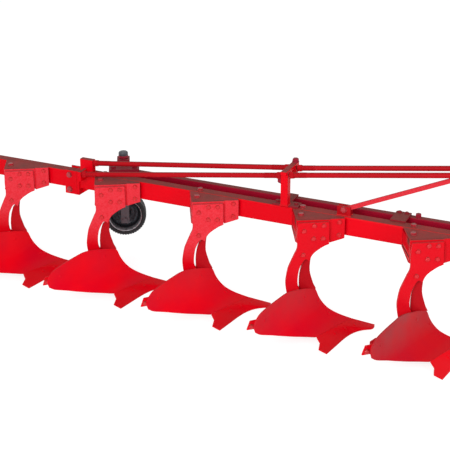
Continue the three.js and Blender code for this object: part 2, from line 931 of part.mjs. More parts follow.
// Rear section
const extensionFront = nearBeamRear - 2 * jointPlateThickness;
const cheekRear = extensionFront - cheekLength;
const extensionTube = squareTubeAlongX(
  extensionRear,
  extensionFront + weldOverlap,
  0,
  extensionBottom,
  extensionWidth,
  extensionTop - extensionBottom,
  extensionWall,
);
const extensionEnd = block(
  [extensionRear - endPlateThickness, -cheekThickness, extensionBottom - cheekThickness],
  [extensionRear, extensionWidth + cheekThickness, extensionTop + cheekThickness],
);
const rearPlateFront = nearBeamRear - jointPlateThickness - fitGap;
const rearJointPlate = block(
  [extensionFront, -jointPlateOverhang, jointBottom],
  [rearPlateFront, nearBeamWidth + jointPlateOverhang, jointTop],
);
const cheeks = [-cheekThickness, extensionWidth].map((near) => block(
  [cheekRear, near, jointBottom],
  [extensionFront + weldOverlap, near + cheekThickness, jointTop],
));
// Bolts through the joint plates and cheeks
const jointBoltRows = [jointBottom + largeBoltAcross, jointTop - largeBoltAcross];
const cheekMiddle = (cheekRear + extensionFront) / 2;
const jointBolts = jointBoltRows.map((height) => boltFacing(
  new THREE.Vector3(cheekMiddle, -cheekThickness, height), towardViewer, largeBoltAcross, largeBoltHeight,
));
const drainHole = cylinderBetween(
  new THREE.Vector3(extensionRear + drainDiameter * 2, extensionWidth / 2, extensionBottom - drainDiameter),
  new THREE.Vector3(extensionRear + drainDiameter * 2, extensionWidth / 2, extensionBottom + drainDiameter),
  drainDiameter / 2,
);
const rearBeam = joined(extensionTube, extensionEnd, rearJointPlate, ...cheeks, ...jointBolts);
addNode('rear_beam', onBeam(cutFrom(rearBeam, drainHole)), paints.red);

// Cross plates on top of both beams
const plateBottom = beamTop + fitGap;
const plateTop = plateBottom + crossPlateThickness;
const frontCross = block(
  [frontCrossRear, frontCrossNear, plateBottom],
  [frontCrossFront, farEdge, plateTop],
);
function topBolt(along, across) {
  return boltFacing(new THREE.Vector3(along, across, plateTop), up, smallBoltAcross, smallBoltHeight);
}
const frontCrossBolts = [frontCrossRear + smallBoltAcross, frontCrossFront - smallBoltAcross].map((along) => (
  topBolt(along, farBeamNearFace + farBeamWidth / 2)
));
addNode('front_cross_plate', onBeam(joined(frontCross, ...frontCrossBolts)), paints.red);
const postPlate = joined(
  block([postPlateRear, postPlateNear, plateBottom], [postPlateFront, nearBeamWidth, plateTop]),
  block([postCrossRear, nearBeamWidth - weldInset, plateBottom], [postCrossFront, farEdge, plateTop]),
);
const post = block(
  [postAlong - postSide / 2, postNear, plateTop - weldOverlap],
  [postAlong + postSide / 2, postNear + postSide, postTop + weldOverlap],
);
const crossbar = block(
  [postAlong - crossbarWidth / 2, crossbarNear, postTop],
  [postAlong + crossbarWidth / 2, crossbarFar, postTop + crossbarThickness],
);
const stayBlock = block(
  [postAlong - postSide / 2, stayBlockNear, postTop - stayBlockDepth],
  [postAlong + postSide / 2, stayBlockFar, postTop + weldOverlap],
);
const postBolts = [postPlateRear + smallBoltAcross, postPlateFront - smallBoltAcross].map((along) => (
  topBolt(along, nearBeamWidth / 2)
));
addNode('stay_post', onBeam(joined(postPlate, post, crossbar, stayBlock, ...postBolts)), paints.red);

// Stays: each is a round bar whose end nuts bear on the faces that it runs between
const alongBeam = ahead.clone().applyAxisAngle(up, -beamAngle);
function stay(start, end, startFacing, endFacing) {
  const along = end.clone().sub(start).normalize();
  const slack = (facing) => fitGap + stayNutAcross / 2 * Math.tan(along.angleTo(facing));
  const from = start.clone().addScaledVector(along, slack(startFacing));
  const to = end.clone().addScaledVector(along, -slack(endFacing));
  const rearNut = cylinderBetween(
    from, from.clone().addScaledVector(along, stayNutLength), stayNutAcross / 2, hexFacets,
  );
  const frontNut = cylinderBetween(
    to.clone().addScaledVector(along, -stayNutLength), to, stayNutAcross / 2, hexFacets,
  );
  return joined(cylinderBetween(from, to, stayDiameter / 2), rearNut, frontNut);
}

// Mast bars lean together, and the stays meet them part of the way up
const hitchTop = hitchTubeBottom + hitchTubeSide;
const footHeight = hitchTop + fitGap;
const mastRearFace = mastAhead - mastBarThickness / 2;
function mastLine(side, share) {
  const footHalf = hitchTubeHalf - mastFootInset;
  const half = footHalf + share * (mastHeadHalf - footHalf);
  const height = footHeight + share * (mastHeadHeight - footHeight);
  return new THREE.Vector3(mastAhead, mastCentre + side * half, height);
}
function stayHead(side, share) {
  return mastLine(side, share).setX(mastRearFace - stayHeadLug);
}

const postRear = postAlong - postSide / 2;
const postFront = postAlong + postSide / 2;
const nearStayHead = stayHead(-1, nearStayHeadShare);
const farStayHead = stayHead(1, farStayHeadShare);
const nearStayFoot = beamPoint(lugFront, lugStayAside, lugStayHeight);
const farStayFoot = beamPoint(anchorFront, anchorStayAside, anchorStayHeight);
const nearPostRear = beamPoint(postRear, nearStayAside, nearStayHeight);
const nearPostFront = beamPoint(postFront, nearStayAside, nearStayHeight + nearStayRise);
const farPostRear = beamPoint(postRear, farStayAside, farStayHeight);
const farPostFront = beamPoint(postFront, farStayAside, farStayHeight + farStayRise);
addNode('near_stay_rear', stay(nearStayFoot, nearPostRear, alongBeam, alongBeam), paints.darkRed);
addNode('near_stay_front', stay(nearPostFront, nearStayHead, alongBeam, ahead), paints.darkRed);
addNode('far_stay_rear', stay(farStayFoot, farPostRear, alongBeam, alongBeam), paints.darkRed);
addNode('far_stay_front', stay(farPostFront, farStayHead, alongBeam, ahead), paints.darkRed);

// Tractor end: cross tube, hangers, mast
const hitchRear = beamFrontPlane + fitGap;
const hangerInner = hitchTubeHalf - hangerSpread;
const hitchTube = squareTubeAlongY(
  mastCentre - hitchTubeHalf,
  mastCentre + hitchTubeHalf,
  hitchRear,
  hitchTubeBottom,
  hitchTubeSide,
  hitchTubeSide,
  hitchTubeWall,
);
const hangers = [-1, 1].flatMap((side) => {
  const outline = [
    [hitchRear, hitchTubeBottom + weldInset],
    [hitchRear, lowerPinHeight],
    [hitchRear + hangerWidth / 4, hangerBottom],
    [hitchRear + hangerWidth, hangerBottom],
    [hitchRear + hangerWidth, hitchTubeBottom + weldInset],
  ];
  const near = mastCentre + side * hangerInner - hangerThickness / 2;
  const outer = mastCentre + side * (hitchTubeHalf - hangerThickness / 2) - hangerThickness / 2;
  return [uprightPlate(outline, near, hangerThickness), uprightPlate(outline, outer, hangerThickness)];
});
const pinAhead = hitchRear + hangerWidth * pinAheadShare;
const pinHoles = [-1, 1].map((side) => cylinderBetween(
  new THREE.Vector3(pinAhead, mastCentre + side * (hangerInner - hangerThickness), lowerPinHeight),
  new THREE.Vector3(pinAhead, mastCentre + side * (hitchTubeHalf + hangerThickness), lowerPinHeight),
  lowerPinDiameter / 2 + 2 * fitGap,
  roundFacets,
));
addNode('hitch_tube', cutFrom(joined(hitchTube, ...hangers), ...pinHoles), paints.red);

function lowerPin(side) {
  const inner = mastCentre + side * (hangerInner - hangerThickness);
  const outer = mastCentre + side * (hitchTubeHalf + lowerPinLength - lowerPinDiameter);
  const collarStart = mastCentre + side * (hitchTubeHalf + fitGap);
  const pin = cylinderBetween(
    new THREE.Vector3(pinAhead, inner, lowerPinHeight),
    new THREE.Vector3(pinAhead, outer, lowerPinHeight),
    lowerPinDiameter / 2,
    roundFacets,
  );
  const collar = cylinderBetween(
    new THREE.Vector3(pinAhead, collarStart, lowerPinHeight),
    new THREE.Vector3(pinAhead, collarStart + side * pinCollarLength, lowerPinHeight),
    pinCollarDiameter / 2,
    roundFacets,
  );
  const linchHole = cylinderBetween(
    new THREE.Vector3(pinAhead, outer - side * lowerPinDiameter, lowerPinHeight - lowerPinDiameter),
    new THREE.Vector3(pinAhead, outer - side * lowerPinDiameter, lowerPinHeight + lowerPinDiameter),
    linchDiameter / 2 + fitGap,
    rodFacets,
  );
  return cutFrom(joined(pin, collar), linchHole);
}
addNode('lower_link_pin_right', lowerPin(-1), paints.zinc);
addNode('lower_link_pin_left', lowerPin(1), paints.zinc);

function mastBar(side) {
  const low = mastLine(side, 0);
  const high = mastLine(side, 1);
  const lean = high.clone().sub(low).normalize();
  const acrossHalf = mastBarWidth / 2 / lean.z;
  const outline = [
    [low.y - acrossHalf, low.z],
    [low.y + acrossHalf, low.z],
    [high.y + acrossHalf, high.z],
    [high.y - acrossHalf, high.z],
  ];
  return squarePlate(outline, mastRearFace, mastBarThickness);
}
const mastFront = mastRearFace + mastBarThickness;
const headLug = (head) => block(
  [head.x, head.y - stayNutAcross / 2, head.z - stayNutAcross / 2],
  [mastRearFace + weldOverlap, head.y + stayNutAcross / 2, head.z + stayNutAcross / 2],
);
addNode('mast_bar_right', joined(mastBar(-1), headLug(nearStayHead)), paints.red);
addNode('mast_bar_left', joined(mastBar(1), headLug(farStayHead)), paints.red);
const headPlate = squarePlate(
  rectanglePoints(
    mastCentre - headPlateWidth / 2,
    mastHeadHeight - headPlateHeight,
    mastCentre + headPlateWidth / 2,
    mastHeadHeight,
  ),
  mastFront + fitGap,
  headPlateThickness,
);
const clevisRear = mastFront + fitGap + headPlateThickness - weldOverlap;
const clevisPinAhead = clevisRear + clevisReach * clevisPinShare;
const clevisTop = mastHeadHeight + clevisRise;
const clevisBottom = mastHeadHeight - clevisDrop;
const clevisPinHeight = (clevisTop + clevisBottom) / 2;
const clevisPlates = [-1, 1].map((side) => {
  const near = side < 0 ? mastCentre - clevisSlot / 2 - clevisPlateThickness : mastCentre + clevisSlot / 2;
  return uprightPlate(
    rectanglePoints(clevisRear, clevisBottom, clevisRear + clevisReach, clevisTop),
    near,
    clevisPlateThickness,
  );
});
const topPinHole = cylinderBetween(
  new THREE.Vector3(clevisPinAhead, mastCentre - topPinLength, clevisPinHeight),
  new THREE.Vector3(clevisPinAhead, mastCentre + topPinLength, clevisPinHeight),
  topPinDiameter / 2 + 2 * fitGap,
  roundFacets,
);
addNode('mast_head', cutFrom(joined(headPlate, ...clevisPlates), topPinHole), paints.red);

const topPin = cylinderBetween(
  new THREE.Vector3(clevisPinAhead, mastCentre - topPinLength / 2, clevisPinHeight),
  new THREE.Vector3(clevisPinAhead, mastCentre + topPinLength / 2, clevisPinHeight),
  topPinDiameter / 2,
  roundFacets,
);
const topPinHead = cylinderBetween(
  new THREE.Vector3(clevisPinAhead, mastCentre + topPinLength / 2, clevisPinHeight),
  new THREE.Vector3(clevisPinAhead, mastCentre + topPinLength / 2 + pinCollarLength, clevisPinHeight),
  pinCollarDiameter / 2,
  roundFacets,
);
const topLinchAside = mastCentre - topPinLength / 2 + linchDiameter;
const topLinchHole = cylinderBetween(
  new THREE.Vector3(clevisPinAhead, topLinchAside, clevisPinHeight - topPinDiameter),
  new THREE.Vector3(clevisPinAhead, topLinchAside, clevisPinHeight + topPinDiameter),
  linchDiameter / 2 + fitGap,
  rodFacets,
);
addNode('top_link_pin', cutFrom(joined(topPin, topPinHead), topLinchHole), paints.zinc);

// Linch pins: a short peg with a ring over the pin's end
function linchPin(aheadAt, asideAt, pinHeight, pinRadius) {
  const top = pinHeight + pinRadius + linchDiameter / 2;
  const peg = cylinderBetween(
    new THREE.Vector3(aheadAt, asideAt, top - linchLength),
    new THREE.Vector3(aheadAt, asideAt, top),
    linchDiameter / 2,
    smallFacets,
  );
  const ring = new THREE.TorusGeometry(linchRing / 2, linchRingWire / 2, hexFacets, rodFacets);
  ring.rotateX(Math.PI / 2).translate(aheadAt, asideAt, top + linchRing / 2);
  return joined(peg, ring);
}
function lowerLinchPin(side) {
  const asideAt = mastCentre + side * (hitchTubeHalf + lowerPinLength - 2 * lowerPinDiameter);
  return linchPin(pinAhead, asideAt, lowerPinHeight, lowerPinDiameter / 2);
}
addNode('linch_pin_right', lowerLinchPin(-1), paints.zinc);
addNode('linch_pin_left', lowerLinchPin(1), paints.zinc);
addNode(
  'linch_pin_top',
  linchPin(clevisPinAhead, topLinchAside, clevisPinHeight, topPinDiameter / 2),
  paints.zinc,
);

// Diagonal stay of the mast and its clamp
const mastStayFoot = beamPoint(mastStayFootAlong, mastStayFootAside, mastStayFootHeight);
const mastStayHead = new THREE.Vector3(
  mastRearFace - fitGap - mastStayWidth / 2,
  mastCentre - mastHeadHalf,
  mastHeadHeight - mastStayHeadDrop,
);
addNode(
  'mast_stay', barBetween(mastStayFoot, mastStayHead, mastStayWidth, mastStayThickness), paints.darkRed,
);

// Depth wheel bracket: a saddle over the far beam, an arm behind it and a sleeve for the post
const farFaceAt = (x) => beamFaceAside + farEdge / Math.cos(beamAngle) - beamSlope * x + 2 * fitGap;
const sleeveNear = wheelPostAside - sleeveSide / 2;
const saddleBottom = beamTop + fitGap;
const saddle = flatPlate(
  rectanglePoints(armRear, armNear, armFront, sleeveNear + weldOverlap),
  saddleBottom,
  saddleThickness,
);
const saddleBolts = [armRear + largeBoltAcross, armFront - largeBoltAcross].map((x) => {
  const place = new THREE.Vector3(x, armNear + largeBoltAcross, saddleBottom + saddleThickness);
  return boltFacing(place, up, largeBoltAcross, largeBoltHeight);
});
const armPlate = flatPlate(
  [
    [armRear, farFaceAt(armRear)],
    [armFront, farFaceAt(armFront)],
    [wheelPostAhead + sleeveSide / 2, sleeveNear + weldOverlap],
    [wheelPostAhead - sleeveSide / 2, sleeveNear + weldOverlap],
  ],
  armBottom,
  armPlateThickness,
);
const armWebRears = [wheelPostAhead - sleeveSide / 2, wheelPostAhead + sleeveSide / 2 - armPlateThickness];
const armWebs = armWebRears.map((rear) => squarePlate(
  rectanglePoints(
    farFaceAt(rear), armBottom + weldOverlap, sleeveNear + weldOverlap, saddleBottom + weldOverlap,
  ),
  rear,
  armPlateThickness,
));
const sleeve = standingTube(
  wheelPostAhead, wheelPostAside, sleeveBottom, sleeveTop, sleeveSide, sleeveWall,
);
const flangeHalf = sleeveFlangeSide / 2;
const sleeveFlange = block(
  [wheelPostAhead - flangeHalf, wheelPostAside - flangeHalf, sleeveTop - weldOverlap],
  [wheelPostAhead + flangeHalf, wheelPostAside + flangeHalf, sleeveTop + sleeveFlangeThickness],
);
const spindleHole = cylinderBetween(
  new THREE.Vector3(wheelPostAhead, wheelPostAside, sleeveTop - sleeveFlangeThickness),
  new THREE.Vector3(wheelPostAhead, wheelPostAside, sleeveTop + 2 * sleeveFlangeThickness),
  spindleBore,
  roundFacets,
);
const bracketPieces = [saddle, ...saddleBolts, armPlate, ...armWebs, sleeve, sleeveFlange];
addNode('wheel_bracket', cutFrom(joined(...bracketPieces), spindleHole), paints.darkRed);

// Post, which slides in the sleeve and carries the axle
const wheelPostBottom = wheelHeight - wheelPostFoot;
const postTube = standingTube(
  wheelPostAhead, wheelPostAside, wheelPostBottom, wheelPostTop, wheelPostSide, wheelPostWall,
);
const wheelPostHalf = wheelPostSide / 2;
const nutPlate = block(
  [wheelPostAhead - wheelPostHalf, wheelPostAside - wheelPostHalf, wheelPostTop - weldOverlap],
  [
    wheelPostAhead + wheelPostHalf,
    wheelPostAside + wheelPostHalf,
    wheelPostTop + nutPlateThickness - weldOverlap,
  ],
);
const nutHole = cylinderBetween(
  new THREE.Vector3(wheelPostAhead, wheelPostAside, wheelPostTop - nutPlateThickness),
  new THREE.Vector3(wheelPostAhead, wheelPostAside, wheelPostTop + 2 * nutPlateThickness),
  nutBore,
  roundFacets,
);

const postFarFace = wheelPostAside + wheelPostHalf;
const postNearFace = wheelPostAside - wheelPostHalf;
const wheelAside = postFarFace + wheelRunningGap + tyreWidth / 2;
const hubFar = wheelAside + hubWidth / 2;
const hubNear = wheelAside - hubWidth / 2;
const axlePart = (near, far, radius, facets) => cylinderBetween(
  new THREE.Vector3(wheelPostAhead, near, wheelHeight),
  new THREE.Vector3(wheelPostAhead, far, wheelHeight),
  radius,
  facets,
);
const axleEnd = hubFar + axleEndClearance;
const axleStub = axlePart(postFarFace - weldOverlap, axleEnd, axleRadius, tyreFacets);
const axleShoulder = axlePart(
  postFarFace - weldOverlap, hubNear - axleEndClearance, axleHeadRadius, roundFacets,
);
const axleHead = axlePart(axleEnd, axleEnd + axleHeadThickness, axleHeadRadius, roundFacets);
const axleBoss = axlePart(
  postNearFace - axleBossThickness, postNearFace + weldOverlap, axleBossRadius, roundFacets,
);
const postPieces = [postTube, nutPlate, axleStub, axleShoulder, axleHead, axleBoss];
addNode('wheel_post', cutFrom(joined(...postPieces), nutHole), paints.darkRed);

// Adjusting spindle with its turning cap
const capBottom = sleeveTop + sleeveFlangeThickness + fitGap;
const spindleProfile = [
  [0, spindleBottom],
  [spindleRadius, spindleBottom],
  [spindleRadius, capBottom],
  [spindleRadius * 2, capBottom],
  [spindleRadius * 2, capBottom + capNeckHeight],
  [capRadius, capBottom + capNeckHeight],
  [capRadius, capBottom + capHeight - capNeckHeight],
  [capRadius - capNeckHeight, capBottom + capHeight],
  [0, capBottom + capHeight],
];
const spindle = lathed(spindleProfile, roundFacets).rotateX(Math.PI / 2).translate(
  wheelPostAhead, wheelPostAside, 0,
);
addNode('depth_spindle', spindle, paints.steel);

// Wheel: deep rim with a hub, and the tyre over it
function onWheelAxis(geometry) {
  return geometry.translate(wheelPostAhead, wheelAside, wheelHeight);
}
const rimOuter = tyreInner - fitGap;
const rimInner = rimOuter - rimWall;
const rimHalf = rimWidth / 2;
const hubHalf = hubWidth / 2;
const discHalf = rimWall / 2;
const discAtHub = rimHalf * discHubShare;
const discAtRim = rimHalf * discRimShare;
const rimProfile = [
  [hubBore, -hubHalf],
  [hubRadius, -hubHalf],
  [hubRadius, discAtHub - discHalf],
  [rimInner, discAtRim - discHalf],
  [rimInner, -rimHalf],
  [rimOuter, -rimHalf],
  [rimOuter, rimHalf],
  [rimInner, rimHalf],
  [rimInner, discAtRim + discHalf],
  [hubRadius, discAtHub + discHalf],
  [hubRadius, hubHalf],
  [hubBore, hubHalf],
  [hubBore, -hubHalf],
];
addNode('wheel_rim', onWheelAxis(lathed(rimProfile, tyreFacets)), paints.steel);
const treadHalf = tyreWidth / 2;
const beadRadius = tyreInner * tyreBeadShare;
const shoulderRadius = tyreRadius * tyreShoulderShare;
const crownRadius = tyreRadius * tyreCrownShare;
const shoulderSide = treadHalf * tyreShoulderSideShare;
const crownSide = treadHalf * tyreCrownSideShare;
const tyreProfile = [
  [tyreInner, -rimHalf],
  [beadRadius, -treadHalf],
  [shoulderRadius, -treadHalf],
  [crownRadius, -shoulderSide],
  [tyreRadius, -crownSide],
  [tyreRadius, crownSide],
  [crownRadius, shoulderSide],
  [shoulderRadius, treadHalf],
  [beadRadius, treadHalf],
  [tyreInner, rimHalf],
  [tyreInner, -rimHalf],
];
addNode('wheel_tyre', onWheelAxis(lathed(tyreProfile, tyreFacets)), paints.rubber);

// Stand the whole thing on the origin
const bounds = new THREE.Box3().setFromObject(plough);
const centre = bounds.getCenter(new THREE.Vector3());
plough.children.forEach((mesh) => {
  mesh.geometry.translate(-centre.x, -centre.y, -bounds.min.z);
});

export default plough;
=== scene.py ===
"""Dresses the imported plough: smooth boards, rounded plates, bolts, welds, threads, paint and light."""

import math

import bmesh
import bpy
from bpy.props import FloatProperty, FloatVectorProperty, IntProperty, PointerProperty
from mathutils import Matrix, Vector


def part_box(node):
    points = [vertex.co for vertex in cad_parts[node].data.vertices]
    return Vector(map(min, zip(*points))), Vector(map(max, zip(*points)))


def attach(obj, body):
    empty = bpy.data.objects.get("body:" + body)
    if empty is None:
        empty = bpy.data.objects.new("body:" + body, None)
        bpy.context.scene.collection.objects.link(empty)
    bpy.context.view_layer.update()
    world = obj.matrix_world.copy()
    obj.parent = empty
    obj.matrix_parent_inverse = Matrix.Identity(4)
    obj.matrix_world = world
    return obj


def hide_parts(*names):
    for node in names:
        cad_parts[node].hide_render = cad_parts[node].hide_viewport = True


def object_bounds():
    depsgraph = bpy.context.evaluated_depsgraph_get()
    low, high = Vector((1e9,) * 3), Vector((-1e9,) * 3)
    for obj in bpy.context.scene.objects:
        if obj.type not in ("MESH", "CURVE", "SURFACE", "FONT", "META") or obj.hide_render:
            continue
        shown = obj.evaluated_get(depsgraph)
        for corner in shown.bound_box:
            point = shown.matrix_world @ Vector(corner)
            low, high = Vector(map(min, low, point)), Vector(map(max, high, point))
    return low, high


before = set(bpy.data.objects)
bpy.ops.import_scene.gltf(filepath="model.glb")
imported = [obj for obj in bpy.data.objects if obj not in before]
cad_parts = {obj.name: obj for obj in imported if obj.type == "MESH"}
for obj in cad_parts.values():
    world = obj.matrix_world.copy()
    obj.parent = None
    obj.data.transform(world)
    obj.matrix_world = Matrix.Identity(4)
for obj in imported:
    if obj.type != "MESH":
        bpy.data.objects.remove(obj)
cad_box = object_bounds()

bl_info = {
    "name": "Mounted plough",
    "version": (1, 0, 0),
    "blender": (4, 5, 0),
    "location": "3D View > Sidebar > Plough",
    "description": "Dresses a five-furrow mounted plough on its packed frame",
    "category": "Object",
}

# Lengths are in millimetres, down to the note that says metres. A point is ahead, aside and height from
# a body's leg, or along the slanting beam, across it and height
MM = 0.001

# Bodies, counted from the rearmost, one pitch apart along the beam
BODIES = range(1, 6)
MIDDLE = 3
PITCH = 740
TURN = math.radians(28.9)
STEP = Vector((PITCH * math.cos(TURN), -PITCH * math.sin(TURN), 0))
FACE_ASIDE = 65

# The drawing's own datum is the third body's leg, found from its landside
LANDSIDE_REAR = 420
landside_low, landside_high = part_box("landside_3")
DATUM = Vector((landside_low.x + LANDSIDE_REAR * MM, landside_high.y, 0))

UP = Vector((0, 0, 1))
NEARWARD = Vector((0, -1, 0))
BEAM_REARWARD = Vector((-math.cos(TURN), math.sin(TURN), 0))
BEAM_NEARWARD = Vector((-math.sin(TURN), -math.cos(TURN), 0))
FURROWWARD = Vector((1, -1, 0.4))
SHARE_OUTWARD = Vector((0.3, -0.4, 0.85))

# Beams: rear end, near side, width, height, wall and inside corner
BEAM_TOP, BEAM_FRONT = 779, 1690
NEAR_REAR, NEAR_WIDE, NEAR_TALL, NEAR_WALL, NEAR_INSIDE = -1100, 80, 127, 8, 4
FAR_REAR, FAR_NEAR, FAR_WIDE, FAR_TALL, FAR_WALL, FAR_INSIDE = -904, 164, 50, 120, 6, 3
FAR_CORNER_SHARE = 0.8
LAST_REAR, LAST_LOW, LAST_WIDE, LAST_TALL, LAST_WALL = -1860, 648, 80, 124, 8
END_THICK = 15
CHEEK_REAR, CHEEK_THICK = -1216, 12
JOINT_LOW, JOINT_HIGH, JOINT_THICK, JOINT_OVER, JOINT_GAP = 606, 783, 20, 14, 0.3
LAST_FRONT = NEAR_REAR - 2 * JOINT_THICK
JOINT_GUSSET_LONG, JOINT_GUSSET_SIDES, JOINT_GUSSET_EDGE = 66, (30, 50), 8
SUNK, FOOT_SUNK = 1, 3
KNOB_ALONG, KNOB_ASIDE = 1295, FAR_NEAR + FAR_WIDE / 2
KNOB_PROFILE = [(0, -2), (20, -2), (20, 21), (17, 25), (0, 25)]

# Fittings on the beams, each as its low and its high corner
FOOT_LOW = BEAM_TOP - FOOT_SUNK
PLATE_LOW, PLATE_TOP = 779.3, 791.3
ANCHOR = (-1096, 4, FOOT_LOW), (-994, 44, 876)
LUG = (-1062, -84, 742), (-1040, 1, 812)
CLAMPS = ((805, 20.1, FOOT_LOW), (895, 32.1, 841)), ((805, 51.9, FOOT_LOW), (895, 63.9, 841))
CROSS_PLATE = (1145, 60, PLATE_LOW), (1245, 214, PLATE_TOP)
POST_PLATE = (365, 2, PLATE_LOW), (545, 80, PLATE_TOP)
POST_STRAP = (410, 74, PLATE_LOW), (470, 214, PLATE_TOP)
POST = (428, -15, 790), (478, 35, 1007)
CROSSBAR = (433, -32, 1006), (473, 200, 1030)
STAY_BLOCK = (428, 130, 964), (478, 172, 1007)

# Bracket of a body: web, narrow front plate, two gussets and the closing plate at its rear
WEB_REAR, WEB_FRONT, WEB_LOW, WEB_NEAR, WEB_THICK = -205, 18, 625, -30, 18
NARROW_REAR, NARROW_FRONT, NARROW_TOP = 12, 107, 782
NARROW_REAR_LOW, NARROW_FRONT_LOW, NARROW_NEAR, NARROW_THICK = 617, 645, -27, 15
GUSSET_NEAR, GUSSET_THICK, LOWER_GUSSET_LOW, LOWER_GUSSET_FRONT = -18, 15, 655, 60
CLOSING_THICK, CLOSING_LOW = 12, 652
FACE_GAP = 0.6

# Weld beads of a bracket: how far they stop short of the plates and stand off them
BEAD_FACE_GAP, BEAD_STAND, BEAD_TOP_DROP, BEAD_REAR_SHORT = 1.6, 0.5, 3.2, 5
UPPER_BEAD_SHORT, LOWER_BEAD_SHORT, CLOSING_BEAD_SHORT, CLOSING_BEAD_ASIDE = 3, 2, 1, 4
NARROW_BEAD_STAND, NARROW_BEAD_LOW, CLOSING_BEAD_LOW = 1.5, 623, LOWER_GUSSET_LOW + 1
CROSSBAR_BEAD_NEAR, CROSSBAR_BEAD_FAR = -12, 34

# Leg outline in runs that meet at corners, each point is ahead and height
LEG_NEAR, LEG_THICK = -55, 24.7
LEG_RUNS = [
    [(-197, 769), (-203, 688), (-200, 600), (-218, 552), (-240, 500), (-257, 455), (-267, 400),
     (-271, 355), (-265, 300), (-252, 240), (-232, 180), (-205, 150)],
    [(-205, 150), (-165, 150)],
    [(-165, 150), (-158, 190), (-168, 250), (-181, 310), (-189, 330), (-193, 365), (-191, 405),
     (-183, 452), (-168, 487), (-153, 512), (-138, 517), (-120, 503)],
    [(-120, 503), (-112, 525), (-105, 541), (-90, 561), (-66, 581), (-28, 606), (5, 620)],
    [(5, 620), (1, 772)],
    [(1, 772), (-197, 769)],
]

# Soil-working surface: the shin's curve, the furrow wall's slant, and the edges of board and share
SHIN_HEIGHTS = [0, 20, 50, 100, 150, 200, 250, 300, 360]
SHIN_AHEADS = [335, 278, 196, 82, 10, -29, -55, -75, -90]
WALL_ANGLE, WALL_TWIST, WALL_TWIST_HEIGHT = 42, 5, 300
BOARD_SHIN = [74, 96, 120, 147, 187, 230, 281]
BOARD_CREST = [
    (-112, 303), (-165, 326), (-270, 362), (-341, 360), (-400, 353), (-450, 343), (-482, 328), (-507, 296),
    (-514, 268),
]
BOARD_FOOT = 58
BOARD_LOWER = [
    (130, 59), (85, 60), (45, 60), (5, 61), (-35, 62), (-62, 62), (-88, 62), (-145, 77), (-235, 103),
    (-302, 126.5), (-352, 146.5), (-400, 168), (-440, 187.5), (-475, 207), (-503, 232),
]
BOARD_THICK = 8
SEAM_COLUMNS, SEAM_ROWS, SEAM_GAP = 7, 3, 0.6
SHARE_EDGE = [
    (335, 0, 5), (322, -44, 5), (292, -68, 5), (228, -80, 5), (166, -112, 5), (106, -170, 5),
    (31, -266, 5), (-42, -360, 5),
]
SHARE_HEEL = (-90, -338, 28)
SHARE_EDGE_THICK, SHARE_THICK, SHARE_TAPER_SHARE = 5, 11, 0.5

# Depth wheel: profile points are radius and distance along the axis, or height for the spindle
WHEEL_CENTRE = (-655, 850, 347.5)
POST_AXIS = (-655, 745, 0)
SPINDLE_LOW = 595
CAP_PROFILE = [(0, 843.2), (34, 843.2), (34, 859), (33, 863), (30.5, 866.5), (27, 869.3), (0, 869.3)]
STEM_PROFILE = [
    (0, 592), (10, 592), (12, 594), (12, 819.3), (24, 819.3), (24, 825.3), (33, 825.3), (35, 827.3),
    (35, 841), (33, 843), (0, 843),
]
RIM_PROFILE = [
    (20.09, -55), (32, -55), (34, -53), (34, 4), (38, 9), (46, 13), (60, 15), (76, 14), (88, 10), (98, 3),
    (105.5, -7), (110.5, -19), (113.5, -31), (115.2, -42), (116.6, -48), (119.2, -51.4), (121.7, -52),
    (121.7, 52), (119.5, 51), (117, 48), (115.7, 44), (115.7, 17), (110, 17), (96, 21), (80, 25), (60, 24),
    (44, 20), (34, 18), (34, 53), (32, 55), (20.09, 55),
]
TYRE_HALF = [
    (122, -52), (126, -57), (130, -59.6), (133, -58.6), (136, -59.8), (141, -60), (146, -57), (149, -53),
    (151.5, -48), (153.5, -40), (154.4, -30), (154.4, -26), (151.5, -24.5), (151.5, -20.5), (154.8, -19),
    (155, -5), (152, -3.5),
]

# Places of bolts
LEG_SPOTS = [(-159, 715), (-94, 750), (-34, 749), (-97, 662), (-36, 660), (-161, 551)]
NARROW_SPOTS = [(72, 758), (70, 670)]
BOARD_SPOTS = [(20, 118), (-45, 200), (-150, 270), (-440, 275)]
SHARE_SPOT_SHARES, SHARE_SPOT_RISE_SHARE, SHARE_SPOT_STEP_SHARE = [0.2, 0.42, 0.64], 0.62, 0.02
GUSSET_SPOT = (-164, 58)
BEAM_SPOT_BEHIND, BEAM_SPOT_ASIDE = 175, 40
CHEEK_SPOT_HEIGHTS = (640, 749)
CLAMP_SPOT = (850, 20.1, 819)
CROSS_SPOTS, POST_PLATE_SPOTS = ((1171, 189), (1219, 189)), ((391, 40), (519, 40))
CROSSBAR_SPOT, POST_SPOT = (453, 186, 1030), (428, 8, 956)

# From here on lengths are in metres: heads of bolts as across flats and height
BEAM_BOLT, PLATE_BOLT, LUG_BOLT, POST_BOLT = (0.033, 0.015), (0.024, 0.011), (0.026, 0.011), (0.036, 0.024)
FLUSH_BOLT_RADIUS, FLUSH_BOLT_HEIGHT = 0.0098, 0.0027
BOLT_SINK, WASHER_SHARE = 0.001, 0.66
HEX, ROUND, HEX_CORNER_SHARE, HEAD_TURN = 6, 24, 0.57735, 1.7
WASHER_RISE_SHARE, WASHER_TOP_SHARE, HEAD_RISE_SHARE = 0.2, 0.97, 0.62
CHAMFER_RISE_SHARE, CHAMFER_TOP_SHARE, CROWN_TOP_SHARE = 0.18, 0.83, 0.72
LUG_BOLT_AHEAD, LUG_BAND = 0.024, 0.02

